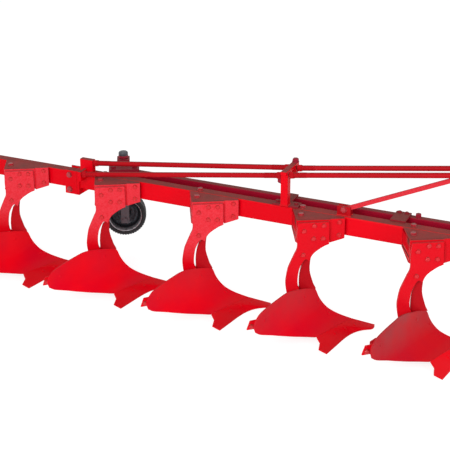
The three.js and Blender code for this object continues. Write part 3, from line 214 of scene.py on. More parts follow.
# Angles in degrees past which an edge is rounded or sharp, how near two points are one, and what is flat
EDGE_ANGLE, SKIN_ANGLE, HEAD_ANGLE, BEAD_ANGLE = 34, 50, 24, 60
ROD_ANGLE, CAP_ANGLE, RIM_ANGLE, BLOCK_ANGLE = 40, 38, 30, 30
SAME_PLACE, PACKED_SAME_PLACE, FLAT_ANGLE = 1e-6, 2e-6, 0.6

# Sides of round pieces, and steps of a screw's turn
ROD_SIDES, CAP_SIDES, RIM_SIDES, TYRE_SIDES = 28, 48, 96, 120
BEAD_SIDES, RIDGE_SIDES, TURN_STEPS = 8, 5, 20

# Roundings of edges, and the slant at a brace's end
FINE_EDGE, BOARD_EDGE, SHARE_EDGE_ROUND, KNOB_EDGE = 0.0012, 0.0012, 0.0009, 0.001
FROG_EDGE, CASTING_EDGE, BAR_EDGE, PIN_EDGE = 0.0008, 0.0018, 0.0015, 0.0006
BRACE_END_BAND, BRACE_LEAN_REACH, BRACE_LEAN_SLOPE = 0.01, 0.045, 0.45

# Nuts and threads of the stays and the spindle, and the tyre's shoulder blocks
NUT_RADIUS, NUT_LONG = 0.0248, 0.0298
STAY_CHAMFER_SHARE, NUT_CHAMFER_SHARE, NUT_FACE_SHARE = 0.12, 0.1, 0.9
STAY_THREAD = {"Length": 0.09, "Turns": 26.0, "Ridge": 0.0012}
SPINDLE_THREAD = {"Radius": 0.0118, "Length": 0.190, "Turns": 32.0, "Ridge": 0.0004}
TREAD = {"Radius": 0.1488, "Aside": 0.0508, "Size": (0.009, 0.008, 0.006)}
RIPPLE_SHARE, BRACKET_WELD_SHARE = 0.9, 0.7
RIPPLE_MEAN, RIPPLE_SWING, RIPPLE_TURN = 0.86, 0.14, 2.4

# Stage: floor, lamps as place and side, the point they light, and the camera's sensor in millimetres
FLOOR_RADIUS, FLOOR_SIDES, FLOOR_LEVEL = 60, 48, -0.0005
FLOOR_TONE, SHADOWED_TONE, FLOOR_GLOW = 0.80, 0.38, 0.82
KEY_PLACE, KEY_SIDE = (-2.6, -5.2, 3.4), 3.4
FILL_PLACE, FILL_SIDE = (4.2, -3.6, 2.6), 3.0
LIT_POINT = (0, 0, 0.5)
SENSOR = 36
WHITE = (1, 1, 1, 1)

# Looks: each board's tone and share of soil, and the heights or radii between which a look comes in: soil,
# the painted sheen on the legs, and the wear and painted highlight of the rim's lip
BOARD_TONES = {1: 1.12, 2: 1.15, 3: 1.10, 4: 1.06, 5: 0.76}
BOARD_SOIL = {1: 0.15, 2: 0.1, 3: 0.2, 4: 0.4, 5: 0.95}
BOARD_SHADE_SHARE, BOARD_SHADE_BLUE = 0.55, 0.016
SOIL_HEIGHTS, SHEEN_HEIGHTS, LIP_WEAR_AND_HIGHLIGHT_RADII = (0.15, 0.33), (0.34, 0.50), (0.107, 0.118)
CLOUD_SHARE, PRIMER_SHARE, PEEL_SHARE = 0.34, 0.45, 0.7
# Painted sheen: a pale pinkish painted reflection, as an even film with fine specks
SHEEN_FILM, SHEEN_SPECKS = 0.45, 0.55
# Normals between these look up and take dust together with painted shade and reflection
LOOKING_UP, DUSTY_ROUGHNESS, SPECK_ROUGHNESS, COAT_ROUGHNESS = (0.80, 0.97), 0.78, 0.18, 0.25
WEAR = "edge_mark"
WAY = "facing"


def colour(name, description, default):
    """Setting for a colour."""
    return FloatVectorProperty(
        name=name, description=description, subtype="COLOR", size=3, min=0, max=1, default=default,
    )


def length(name, description, least, most, default):
    """Setting for a length in metres."""
    return FloatProperty(
        name=name, description=description, unit="LENGTH", min=least, max=most, default=default,
    )


class PloughPaint(bpy.types.PropertyGroup):
    """Colours of the finishes."""

    red: colour("Red", "Enamel of beams, plates, boards and shares", (0.76, 0.0, 0.008))
    # Deep red is painted shade on the frogs, which sit set back behind the legs; the landsides and stays
    # take it as their darker red
    deep_red: colour("Deep red", "Second tone of the frogs, landsides and stays", (0.47, 0.004, 0.010))
    # The dust tone stands for dust together with painted shade and reflection on faces that look up
    dust: colour("Dust", "Dust that lies on faces that look up", (0.20, 0.055, 0.048))
    # Painted sheen: a pale pinkish painted reflection, strong on the rear brackets, legs and the mast's
    # stay, faint on other plates and bolts
    chalk: colour("Chalk", "Tone of chalked enamel on the rear brackets and legs", (0.80, 0.068, 0.092))
    soil: colour("Soil", "Stain of soil on the upper part of the boards", (0.34, 0.034, 0.040))
    primer: colour("Primer", "Tone that shows where an edge is rubbed", (0.28, 0.016, 0.018))
    rim: colour("Rim", "Dark steel of the depth wheel's rim", (0.045, 0.05, 0.06))
    # The lip tone is worn steel together with a painted highlight on the rim's lip
    lip: colour("Rim lip", "Worn steel at the lip of the depth wheel's rim", (0.62, 0.64, 0.68))
    rubber: colour("Rubber", "Tyre rubber", (0.008, 0.008, 0.010))
    grey: colour("Grey", "Cap of the depth spindle", (0.058, 0.06, 0.07))
    zinc: colour("Zinc", "Plated pins and spindle", (0.50, 0.51, 0.54))


class PloughSizes(bpy.types.PropertyGroup):
    """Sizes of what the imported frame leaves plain."""

    edge: length("Edge rounding", "Rounding of plate edges", 0.0003, 0.006, 0.002)
    tube_corner: length("Tube corner", "Outside corner radius of the beams", 0.002, 0.02, 0.009)
    bolt_across: length("Bolt across flats", "Width of the leg bolts' heads", 0.016, 0.04, 0.024)
    bolt_rise: length("Bolt height", "Height of the leg bolts' heads", 0.006, 0.02, 0.0105)
    weld: length("Weld radius", "Radius of a weld bead", 0.002, 0.01, 0.005)
    stay: length("Stay diameter", "Diameter of the long round stays", 0.02, 0.05, 0.035)
    tread_blocks: IntProperty(
        name="Tread blocks", description="Shoulder blocks round the tyre", min=20, max=90, default=48,
    )


class PloughStudio(bpy.types.PropertyGroup):
    """Light, floor and camera."""

    key: FloatProperty(
        name="Key lamp", description="Power of the key lamp", unit="POWER", min=0, default=255.0,
    )
    fill: FloatProperty(
        name="Fill lamp", description="Power of the fill lamp", unit="POWER", min=0, default=95.0,
    )
    ambient: FloatProperty(
        name="Ambient", description="Strength of the surrounding light", min=0, default=0.52,
    )
    lens: FloatProperty(name="Lens", description="Focal length in millimetres", min=10, default=91.84)
    shift: FloatProperty(name="Shift", description="Vertical shift of the lens", default=-0.2)
    eye: FloatVectorProperty(
        name="Camera place", description="Where the camera stands", subtype="TRANSLATION", unit="LENGTH",
        size=3, default=(-0.543324, -6.921249, 3.6501),
    )
    aim: FloatVectorProperty(
        name="Camera turn", description="How the camera is turned", subtype="EULER",
        size=3, default=(math.radians(90 - 18.935), 0.0, -math.radians(4.444)),
    )


def paint():
    return bpy.context.scene.plough_paint


def sizes():
    return bpy.context.scene.plough_sizes


def linked(name, data):
    """New object in the scene."""
    obj = bpy.data.objects.new(name, data)
    bpy.context.scene.collection.objects.link(obj)
    return obj


# Node trees


class Link:
    """An output socket that can stand in a sum; each sum adds a Math node."""

    def __init__(self, graph, socket):
        self.graph = graph
        self.socket = socket

    def other(self, name):
        """Another output of the same node."""
        return Link(self.graph, self.socket.node.outputs[name])

    def joined(self, operation, left, right):
        return self.graph.node("ShaderNodeMath", {"operation": operation}, {0: left, 1: right})

    def __add__(self, other):
        return self.joined("ADD", self, other)

    def __radd__(self, other):
        return self.joined("ADD", other, self)

    def __sub__(self, other):
        return self.joined("SUBTRACT", self, other)

    def __rsub__(self, other):
        return self.joined("SUBTRACT", other, self)

    def __mul__(self, other):
        return self.joined("MULTIPLY", self, other)

    def __rmul__(self, other):
        return self.joined("MULTIPLY", other, self)


class Graph:
    """A node tree that is built one node at a time."""

    def __init__(self, tree):
        self.tree = tree

    def node(self, kind, settings=None, sockets=None, out=0):
        made = self.tree.nodes.new(kind)
        for name, value in (settings or {}).items():
            setattr(made, name, value)
        for name, value in (sockets or {}).items():
            self.feed(made.inputs[name], value)
        return Link(self, made.outputs[out]) if made.outputs else None

    def feed(self, socket, value):
        if isinstance(value, Link):
            self.tree.links.new(value.socket, socket)
        elif isinstance(value, list):
            for link in reversed(value):
                self.tree.links.new(link.socket, socket)
        else:
            socket.default_value = value

    def seen(self):
        """One for a ray from the camera, a shiny surface or glass, else nought."""
        ray = self.node("ShaderNodeLightPath", out="Is Camera Ray")
        return ray + ray.other("Is Glossy Ray") + ray.other("Is Transmission Ray")


class Finish(Graph):
    """A surface material with the textures that the plough's finishes share."""

    def __init__(self, name):
        self.material = bpy.data.materials.new(name)
        self.material.use_nodes = True
        super().__init__(self.material.node_tree)
        self.tree.nodes.clear()
        self.place = self.node("ShaderNodeTexCoord", out="Object")

    def noise(self, scale, detail, rough=0.5):
        sockets = {"Vector": self.place, "Scale": scale, "Detail": detail, "Roughness": rough}
        return self.node("ShaderNodeTexNoise", sockets=sockets)

    def between(self, value, low, high, start=0.0, end=1.0):
        sockets = {"Value": value, "From Min": low, "From Max": high, "To Min": start, "To Max": end}
        return self.node("ShaderNodeMapRange", {"clamp": True}, sockets)

    def mix(self, first, second, share):
        def tint(value):
            return value if isinstance(value, Link) else (*value, 1)

        sockets = {0: share, 6: tint(first), 7: tint(second)}
        return self.node("ShaderNodeMix", {"data_type": "RGBA"}, sockets, out=2)

    def bump(self, height, strength, distance):
        sockets = {"Height": height, "Strength": strength, "Distance": distance}
        return self.node("ShaderNodeBump", sockets=sockets)

    def height(self):
        return self.node("ShaderNodeSeparateXYZ", sockets={0: self.place}, out="Z")

    def upward(self, low, high):
        """How far a face looks up."""
        normal = self.node("ShaderNodeNewGeometry", out="Normal")
        return self.between(self.node("ShaderNodeSeparateXYZ", sockets={0: normal}, out="Z"), low, high)

    def rubbed(self):
        """How far an edge is rubbed: the mark that rounding leaves, broken up by a coarse grain."""
        mark = self.node("ShaderNodeAttribute", {"attribute_name": WEAR}, out="Fac")
        return mark * self.between(self.noise(34, 3), 0.47, 0.62)

    def stain(self):
        return self.between(self.noise(26, 4, 0.6), 0.35, 0.7)

    def brushed(self):
        return self.bump(self.noise(210, 3), 0.12, 0.0008)

    def close(self, tone, roughness, normal, **constants):
        sockets = {"Base Color": tone, "Roughness": roughness, "Normal": normal}
        sockets.update({name.replace("_", " "): value for name, value in constants.items()})
        shader = self.node("ShaderNodeBsdfPrincipled", sockets=sockets)
        self.node("ShaderNodeOutputMaterial", sockets={"Surface": shader})
        return self.material


def enamel(name, main, shade, chalk=0.0, dust=1.0, gloss=0.36, soil=0.0, shine=0.06, fade=None):
    """Sprayed enamel: cloudy tone, fine orange peel, painted sheen, dust and painted shade on what looks
    up, primer on rubbed edges.

    Painted sheen, dust with painted shade, and soil are shares of those tones, gloss is the clean coat's
    roughness, and fade gives the heights between which the painted sheen comes in.
    """
    coat = Finish(name)
    cloud = coat.between(coat.noise(3.2, 3), 0.35, 0.65)
    speck = coat.between(coat.noise(120, 3, 0.6), 0.36, 0.62)
    tone = coat.mix(main, shade, cloud * CLOUD_SHARE)
    # Painted sheen mixed in as a speckled film, and only above the fade's heights where a fade is given
    chalked = (SHEEN_FILM + SHEEN_SPECKS * speck) * chalk
    if fade:
        chalked = chalked * coat.between(coat.height(), *fade)
    tone = coat.mix(tone, paint().chalk, chalked)
    if soil:
        patch = coat.between(coat.noise(4.5, 4, 0.6), 0.36, 0.6, 0.25, 1.0)
        tone = coat.mix(tone, paint().soil, coat.between(coat.height(), *SOIL_HEIGHTS) * patch * soil)
    streak = coat.between(coat.noise(11, 5, 0.65), 0.25, 0.7, 0.72, 1.0)
    # Faces that look up get dust together with painted shade and reflection, broken by streaks
    tops_dust_and_shade = coat.upward(*LOOKING_UP) * dust * streak
    tone = coat.mix(tone, paint().dust, tops_dust_and_shade)
    tone = coat.mix(tone, paint().primer, coat.rubbed() * PRIMER_SHARE)
    rough = coat.between(tops_dust_and_shade + speck * SPECK_ROUGHNESS, 0.0, 1.2, gloss, DUSTY_ROUGHNESS)
    peel = coat.noise(260, 2) * PEEL_SHARE + coat.noise(38, 2) * (1 - PEEL_SHARE)
    return coat.close(
        tone, rough, coat.bump(peel, 0.16, 0.0012),
        Specular_IOR_Level=shine, Coat_Weight=shine / 2, Coat_Roughness=COAT_ROUGHNESS,
    )


def steel(name, main, roughness, metal):
    """Turned or plated steel: spangled grain, slight stains and brighter rubbed edges."""
    coat = Finish(name)
    stain = coat.stain()
    sockets = {"Vector": coat.place, "Scale": 90.0}
    spangle = coat.node("ShaderNodeTexVoronoi", {"feature": "F1"}, sockets, out="Distance")
    light = [min(1.0, channel * 1.6 + 0.05) for channel in main]
    tone = coat.mix(main, scaled(main, 0.55), stain * 0.6)
    tone = coat.mix(tone, light, coat.between(spangle, 0.2, 0.7) * 0.3)
    tone = coat.mix(tone, light, coat.rubbed())
    rough = coat.between(stain, 0.0, 1.0, roughness - 0.08, roughness + 0.14)
    return coat.close(tone, rough, coat.brushed(), Metallic=metal)


def wheel_steel(name, main, lip, centre):
    """Dark rolled steel of a wheel, lighter toward its lip as wear and as a painted highlight, with slight
    stains.
    """
    coat = Finish(name)
    local = coat.node("ShaderNodeMapping", sockets={"Vector": coat.place, "Location": -centre})
    ahead = coat.node("ShaderNodeSeparateXYZ", sockets={0: local}, out="X")
    height = ahead.other("Z")
    radius = coat.node("ShaderNodeMath", {"operation": "SQRT"}, {0: ahead * ahead + height * height})
    # Lighter, less metallic lip: wear together with a painted highlight
    lip_wear_and_highlight = coat.between(radius, *LIP_WEAR_AND_HIGHLIGHT_RADII) * coat.between(coat.noise(40, 4, 0.6), 0.3, 0.55, 0.55, 1.0)
    stain = coat.stain()
    tone = coat.mix(coat.mix(main, scaled(main, 0.5), stain * 0.6), lip, lip_wear_and_highlight)
    rough = coat.between(stain, 0.0, 1.0, 0.24, 0.40)
    return coat.close(tone, rough, coat.brushed(), Metallic=coat.between(lip_wear_and_highlight, 0.0, 1.0, 0.75, 0.35))


def rubber(name, main):
    """Moulded rubber: fine grain and grey bloom."""
    coat = Finish(name)
    bloom = coat.between(coat.noise(14, 5, 0.6), 0.35, 0.7)
    tone = coat.mix(main, [channel * 3.2 + 0.012 for channel in main], bloom * 0.35)
    rough = coat.between(bloom, 0.0, 1.0, 0.48, 0.72)
    return coat.close(tone, rough, coat.bump(coat.noise(330, 4), 0.25, 0.0008), Specular_IOR_Level=0.4)


def scaled(tone, share):
    return [channel * share for channel in tone]


finishes = {}


def mix_finishes():
    """Mixes every finish once."""
    colours = paint()
    red, deep = list(colours.red), list(colours.deep_red)
    flat, duller = scaled(red, 0.88), scaled(red, 0.78)
    enamels = {
        "beam": {"main": red, "shade": duller, "gloss": 0.34},
        # The far beam's dark maroon is painted shade on its near face, which sits behind the near beam
        "far_beam": {"main": (0.30, 0.004, 0.022), "shade": (0.22, 0.004, 0.018), "gloss": 0.4},
        "plate": {"main": flat, "shade": duller, "chalk": 0.08},
        # The rearmost brackets and legs carry a strong painted sheen, a painted reflection that lightens
        # them toward pink
        "chalked": {"main": flat, "shade": duller, "chalk": 0.62},
        "leg": {"main": flat, "shade": duller, "chalk": 0.08, "dust": 0.3},
        "chalked_leg": {"main": flat, "shade": duller, "chalk": 0.62, "dust": 0.3, "fade": SHEEN_HEIGHTS},
        "bolt": {"main": scaled(red, 0.8), "shade": deep, "chalk": 0.05, "gloss": 0.22, "shine": 0.36},
        "share": {"main": scaled(red, 1.02), "shade": duller, "dust": 0.12},
        "shaded": {"main": deep, "shade": scaled(deep, 0.7), "dust": 0.8, "gloss": 0.42},
        "dark": {"main": (0.34, 0.016, 0.036), "shade": (0.13, 0.010, 0.020), "dust": 0.6, "gloss": 0.4},
        "fastener": {"main": (0.42, 0.014, 0.024), "shade": (0.26, 0.01, 0.02), "dust": 0.9, "gloss": 0.25,
                     "shine": 0.5},
        # Lighter red with a strong painted sheen for the mast's thin stay: a painted highlight along the
        # bar
        "faded": {"main": scaled(deep, 1.25), "shade": deep, "chalk": 0.5, "dust": 0.3},
        # Dark brownish red of the lying plates and their bolts: dust together with painted shade on their
        # tops
        "dusty": {"main": (0.27, 0.014, 0.024), "shade": (0.18, 0.02, 0.028), "gloss": 0.45},
        "post": {"main": (0.12, 0.10, 0.115), "shade": (0.05, 0.04, 0.05), "dust": 0.6, "gloss": 0.3,
                 "shine": 0.4},
    }
    for name, look in enamels.items():
        finishes[name] = enamel(f"{name}_enamel", **look)
    for body in BODIES:
        tone = scaled(red, BOARD_TONES[body])
        shade = [tone[0] * BOARD_SHADE_SHARE, tone[1], tone[2] + BOARD_SHADE_BLUE]
        finishes[f"board_{body}"] = enamel(
            f"board_enamel_{body}", tone, shade, dust=0.35, gloss=0.32, soil=BOARD_SOIL[body],
        )
    finishes["rim"] = wheel_steel("rim_steel", list(colours.rim), list(colours.lip), at_body(*WHEEL_CENTRE))
    finishes["grey"] = steel("cap_steel", list(colours.grey), roughness=0.46, metal=0.55)
    finishes["zinc"] = steel("zinc_plating", list(colours.zinc), roughness=0.34, metal=0.9)
    finishes["rubber"] = rubber("tyre_rubber", list(colours.rubber))


# Shapes, drawn in millimetres


def at_body(x, y, z, body=MIDDLE):
    """Place by a body: ahead, aside and height from its leg."""
    return DATUM + (Vector((x, y, z)) + STEP * (body - MIDDLE)) * MM


def on_beam(s, d, z):
    """Place on the frame: along the beam, across it from its near face, and height."""
    ahead = s * math.cos(TURN) + d * math.sin(TURN)
    aside = FACE_ASIDE - s * math.sin(TURN) + d * math.cos(TURN)
    return DATUM + Vector((ahead, aside, z)) * MM


def in_metres(x, y, z):
    """Place that is already in metres."""
    return Vector((x, y, z))


def beam_face(ahead, gap):
    """How far aside of a body the near beam's face lies, less a gap."""
    return FACE_ASIDE - math.tan(TURN) * ahead - gap


def curve_through(points, steps):
    """Catmull-Rom curve through the points."""
    rows = [Vector(point) for point in points]
    if len(rows) == 2:
        return rows
    made = []
    for i in range(len(rows) - 1):
        p0, p1, p2, p3 = rows[max(i - 1, 0)], rows[i], rows[i + 1], rows[min(i + 2, len(rows) - 1)]
        for k in range(steps):
            t = k / steps
            made.append(0.5 * (2 * p1 + (p2 - p0) * t + (2 * p0 - 5 * p1 + 4 * p2 - p3) * t * t
                               + (3 * p1 - p0 - 3 * p2 + p3) * t ** 3))
    made.append(rows[-1])
    return made


def rounded_box(x0, z0, x1, z1, radius, steps=4):
    """Points round a rectangle with rounded corners."""
    corners = [(x1 - radius, z1 - radius, 0), (x0 + radius, z1 - radius, 1),
               (x0 + radius, z0 + radius, 2), (x1 - radius, z0 + radius, 3)]
    points = []
    for cx, cz, quarter in corners:
        for k in range(steps + 1):
            turn = math.pi / 2 * (quarter + k / steps)
            points.append((cx + radius * math.cos(turn), cz + radius * math.sin(turn)))
    return points


class Shape:
    """Closed shells, kept in one mesh until the piece is finished."""

    def __init__(self, place=at_body, **where):
        self.mesh = bmesh.new()
        self.place = place
        self.where = where

    def points(self, row):
        return [self.mesh.verts.new(self.place(*point, **self.where)) for point in row]

    def strip(self, lower, upper):
        """Closed band of faces between two rings."""
        count = len(lower)
        for i in range(count):
            j = (i + 1) % count
            self.mesh.faces.new((lower[i], lower[j], upper[j], upper[i]))

    def loft(self, rings):
        """Closed skin over rings that each have the same count of points."""
        made = [self.points(ring) for ring in rings]
        for lower, upper in zip(made, made[1:]):
            self.strip(lower, upper)
        self.mesh.faces.new(list(reversed(made[0])))
        self.mesh.faces.new(made[-1])

    def plate(self, outline, near, thickness):
        """Upright plate, outline in ahead and height."""
        self.loft([[(x, y, z) for x, z in outline] for y in (near, near + thickness)])

    def flat(self, outline, low, thickness):
        """Lying plate, outline in ahead and aside."""
        self.loft([[(x, y, z) for x, y in outline] for z in (low, low + thickness)])

    def square(self, outline, rear, thickness):
        """Plate square to the way of travel, outline in aside and height."""
        self.loft([[(x, y, z) for y, z in outline] for x in (rear, rear + thickness)])

    def block(self, low, high):
        x0, y0, z0 = low
        x1, y1, z1 = high
        self.flat([(x0, y0), (x1, y0), (x1, y1), (x0, y1)], z0, z1 - z0)

    def turned(self, profile, centre, axis, facets, closed=True):
        """Turned piece: profile points are radius and distance along the axis."""
        axis = Vector(axis).normalized()
        first = axis.orthogonal().normalized()
        second = axis.cross(first)
        centre = Vector(centre)
        made = []
        for i in range(facets):
            turn = 2 * math.pi * i / facets
            out = first * math.cos(turn) + second * math.sin(turn)
            made.append(self.points([centre + out * r + axis * h for r, h in profile]))
        count = len(profile)
        for a, b in zip(made, made[1:] + made[:1]):
            for i in range(count if closed else count - 1):
                j = (i + 1) % count
                self.mesh.faces.new((a[i], b[i], b[j], a[j]))

    def tube(self, width, height, wall, rear, front_at, corner, inner_corner):
        """Square tube along the beam from rear to a front that may be slanted."""
        outer = rounded_box(0, 0, width, height, corner)
        inner = rounded_box(wall, wall, width - wall, height - wall, inner_corner)
        made = []
        for loop, ends in ((outer, (0, 1)), (inner, (1, 0))):
            for end in ends:
                made.append(self.points([(front_at(d) if end else rear, d, z) for d, z in loop]))
        for a, b in zip(made, made[1:] + made[:1]):
            self.strip(a, b)

    def skin(self, front, back):
        """Closed plate between a front and a back grid."""
        face = [self.points(row) for row in front]
        rear = [self.points(row) for row in back]
        rows, columns = len(face), len(face[0])
        new = self.mesh.faces.new
        for r in range(rows - 1):
            for c in range(columns - 1):
                new((face[r][c], face[r][c + 1], face[r + 1][c + 1], face[r + 1][c]))
                new((rear[r][c], rear[r + 1][c], rear[r + 1][c + 1], rear[r][c + 1]))
        for c in range(columns - 1):
            new((face[0][c + 1], face[0][c], rear[0][c], rear[0][c + 1]))
            new((face[-1][c], face[-1][c + 1], rear[-1][c + 1], rear[-1][c]))
        for r in range(rows - 1):
            new((face[r][0], face[r + 1][0], rear[r + 1][0], rear[r][0]))
            new((face[r + 1][-1], face[r][-1], rear[r][-1], rear[r + 1][-1]))

    def piece(self, name, finish, bevel=None, angle=EDGE_ANGLE, **labels):
        """Turns the shells into a dressed object with rounded edges."""
        bmesh.ops.remove_doubles(self.mesh, verts=self.mesh.verts, dist=SAME_PLACE)
        bmesh.ops.recalc_face_normals(self.mesh, faces=self.mesh.faces)
        dress(rounded(name, self.mesh, bevel, angle), finish, **labels)


def on_each_body(node, ending, draw, finish_for, bevel, angle=EDGE_ANGLE):
    """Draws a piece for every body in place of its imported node."""
    for body in BODIES:
        shape = Shape(at_body, body=body)
        draw(shape)
        packed = f"{node}_{body}"
        shape.piece(f"{packed}_{ending}", finish_for(body), bevel, angle, nodes=[packed])


def rounded(name, work, bevel, angle=EDGE_ANGLE):
    """Object of a bmesh, with the edges past an angle rounded and marked, so that a finish can rub them."""
    data = bpy.data.meshes.new(name)
    work.to_mesh(data)
    work.free()
    obj = linked(name, data)
    if bevel:
        while len(data.materials) < 2:
            data.materials.append(None)
        made = obj.modifiers.new("edges", "BEVEL")
        made.width = bevel
        made.segments = 2
        made.limit_method = "ANGLE"
        made.angle_limit = math.radians(angle)
        made.use_clamp_overlap = True
        made.harden_normals = False
        made.material = 1
        flatten(obj)
    marks = obj.data.attributes.new(WEAR, "FLOAT", "CORNER")
    for face in obj.data.polygons:
        for corner in face.loop_indices:
            marks.data[corner].value = float(face.material_index == 1)
        face.material_index = 0
    obj.data.materials.clear()
    obj.data.shade_smooth()
    obj.data.set_sharp_from_angle(angle=math.radians(angle))
    if bevel:
        even = obj.modifiers.new("even", "WEIGHTED_NORMAL")
        even.keep_sharp = True
        even.weight = 60
        flatten(obj)
    return obj


def flatten(obj):
    """Turns an object's modifiers into its own mesh."""
    graph = bpy.context.evaluated_depsgraph_get()
    made = bpy.data.meshes.new_from_object(obj.evaluated_get(graph))
    obj.modifiers.clear()
    obj.data = made


def dress(obj, finish, slot="red_paint", nodes=(), body="frame"):
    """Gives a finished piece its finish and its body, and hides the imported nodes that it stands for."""
    obj.data.materials.clear()
    obj.data.materials.append(finishes[finish])
    for face in obj.data.polygons:
        face.material_index = 0
    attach(obj, body)
    if nodes:
        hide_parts(*nodes)
    return obj


def softened(node, finish, slot, bevel, body="frame"):
    """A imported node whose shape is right, with its edges eased."""
    work = bmesh.new()
    work.from_mesh(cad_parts[node].data)
    bmesh.ops.remove_doubles(work, verts=work.verts, dist=PACKED_SAME_PLACE)
    level = math.radians(FLAT_ANGLE)
    bmesh.ops.dissolve_limit(work, angle_limit=level, verts=work.verts, edges=work.edges)
    return dress(rounded(f"{node}_eased", work, bevel), finish, slot, [node], body)


# Repeated pieces made by Geometry Nodes


class Repeat(Graph):
    """A Geometry Nodes tree with named inputs, run on an object and turned into a plain mesh."""

    def __init__(self, name, **inputs):
        tree = bpy.data.node_groups.new(name, "GeometryNodeTree")
        super().__init__(tree)
        tree.interface.new_socket("Geometry", in_out="INPUT", socket_type="NodeSocketGeometry")
        tree.interface.new_socket("Geometry", in_out="OUTPUT", socket_type="NodeSocketGeometry")
        for label, kind in {**inputs, "Finish": "Material"}.items():
            label = label.replace("_", " ")
            tree.interface.new_socket(label, in_out="INPUT", socket_type=f"NodeSocket{kind}")
        self.start = tree.nodes.new("NodeGroupInput")

    def input(self, label):
        return Link(self, self.start.outputs[label])

    def shifted(self, geometry, **offset):
        """Moves geometry along X, Y or Z."""
        way = self.node("ShaderNodeCombineXYZ", sockets=offset)
        return self.node("GeometryNodeTransform", sockets={"Geometry": geometry, "Translation": way})

    def cone(self, vertices, low, high, depth, base):
        """Cone or disc that stands on a height, with a radius at its low and its high end."""
        sockets = {"Vertices": vertices, "Radius Bottom": low, "Radius Top": high, "Depth": depth}
        return self.shifted(self.node("GeometryNodeMeshCone", sockets=sockets), Z=base)

    def join(self, parts):
        return self.node("GeometryNodeJoinGeometry", sockets={0: parts})

    def turned_to(self, way):
        return self.node("FunctionNodeAlignRotationToVector", {"axis": "Z"}, {"Vector": way})

    def facing(self):
        """Turn toward the way that each seed point faces."""
        way = self.node("GeometryNodeInputNamedAttribute", {"data_type": "FLOAT_VECTOR"}, {"Name": WAY})
        return self.turned_to(way)

    def copies(self, points, instance, **turn):
        """A copy of the instance on every point."""
        sockets = {"Points": points, "Instance": instance, **turn}
        return self.node("GeometryNodeInstanceOnPoints", sockets=sockets)

    def on_seeds(self, instance, **turn):
        """Closes the tree with a copy of the instance on every seed point."""
        return self.close(self.copies(self.input("Geometry"), instance, **turn))

    def swept(self, curve, sides, radius, **more):
        """Round bar along a curve."""
        sockets = {"Resolution": sides, "Radius": self.input(radius)}
        ring = self.node("GeometryNodeCurvePrimitiveCircle", sockets=sockets)
        sockets = {"Curve": curve, "Profile Curve": ring, "Fill Caps": True, **more}
        return self.node("GeometryNodeCurveToMesh", sockets=sockets)

    def close(self, geometry):
        whole = self.node("GeometryNodeRealizeInstances", sockets={0: geometry})
        finish = self.input("Finish")
        painted = self.node("GeometryNodeSetMaterial", sockets={0: whole, "Material": finish})
        self.node("NodeGroupOutput", sockets={0: painted})
        return self.tree


def run_tree(name, tree, seeds, finish, values, angle=BLOCK_ANGLE, **labels):
    """Runs a tree on seed geometry and dresses the plain mesh that comes out."""
    obj = linked(name, seeds)
    made = obj.modifiers.new("repeat", "NODES")
    made.node_group = tree
    values = {**values, "Finish": finishes[finish]}
    for item in tree.interface.items_tree:
        if item.in_out == "INPUT" and item.name in values:
            made[item.identifier] = values[item.name]
    flatten(obj)
    obj.data.shade_smooth()
    obj.data.set_sharp_from_angle(angle=math.radians(angle))
    dress(obj, finish, **labels)


def seed_points(spots):
    """Loose points from pairs of a place and the way it faces."""
    data = bpy.data.meshes.new("seeds")
    data.from_pydata([tuple(place) for place, _ in spots], [], [])
    ways = data.attributes.new(WAY, "FLOAT_VECTOR", "POINT")
    for way, (_, facing) in zip(ways.data, spots):
        way.vector = facing
    return data


def seed_lines(lines):
    """Loose edges along each line of points."""
    places, edges = [], []
    for line in lines:
        first = len(places)
        places += [tuple(point) for point in line]
        edges += [(first + i, first + i + 1) for i in range(len(line) - 1)]
    data = bpy.data.meshes.new("seeds")
    data.from_pydata(places, edges, [])
    return data


def bolt_tree():
    """Hexagon head with a chamfered top on a washer, set on every seed point."""
    tree = Repeat("hex_bolts", Across_Flats="Float", Height="Float", Washer="Float", Sink="Float")
    height, washer, below = tree.input("Height"), tree.input("Washer"), tree.input("Sink")
    corner = tree.input("Across Flats") * HEX_CORNER_SHARE
    thick, rise = height * WASHER_RISE_SHARE, height * HEAD_RISE_SHARE
    head = tree.join([
        tree.cone(ROUND, washer, washer * WASHER_TOP_SHARE, thick + below, 0 - below),
        tree.cone(HEX, corner, corner, rise, thick),
        tree.cone(HEX, corner, corner * CHAMFER_TOP_SHARE, height * CHAMFER_RISE_SHARE, thick + rise),
    ])
    number = tree.node("GeometryNodeInputIndex")
    spin = tree.node("ShaderNodeCombineXYZ", sockets={"Z": number * HEAD_TURN})
    sockets = {0: tree.facing(), 1: spin}
    turn = tree.node("FunctionNodeRotateRotation", {"rotation_space": "LOCAL"}, sockets)
    return tree.on_seeds(head, Rotation=turn)


def disc_tree():
    """Low round head with a shallow crown, set on every seed point."""
    tree = Repeat("flush_bolts", Radius="Float", Height="Float", Sink="Float")
    radius, below = tree.input("Radius"), tree.input("Sink")
    half = tree.input("Height") * 0.5
    head = tree.join([
        tree.cone(ROUND, radius, radius, half + below, 0 - below),
        tree.cone(ROUND, radius, radius * CROWN_TOP_SHARE, half, half),
    ])
    return tree.on_seeds(head, Rotation=tree.facing())


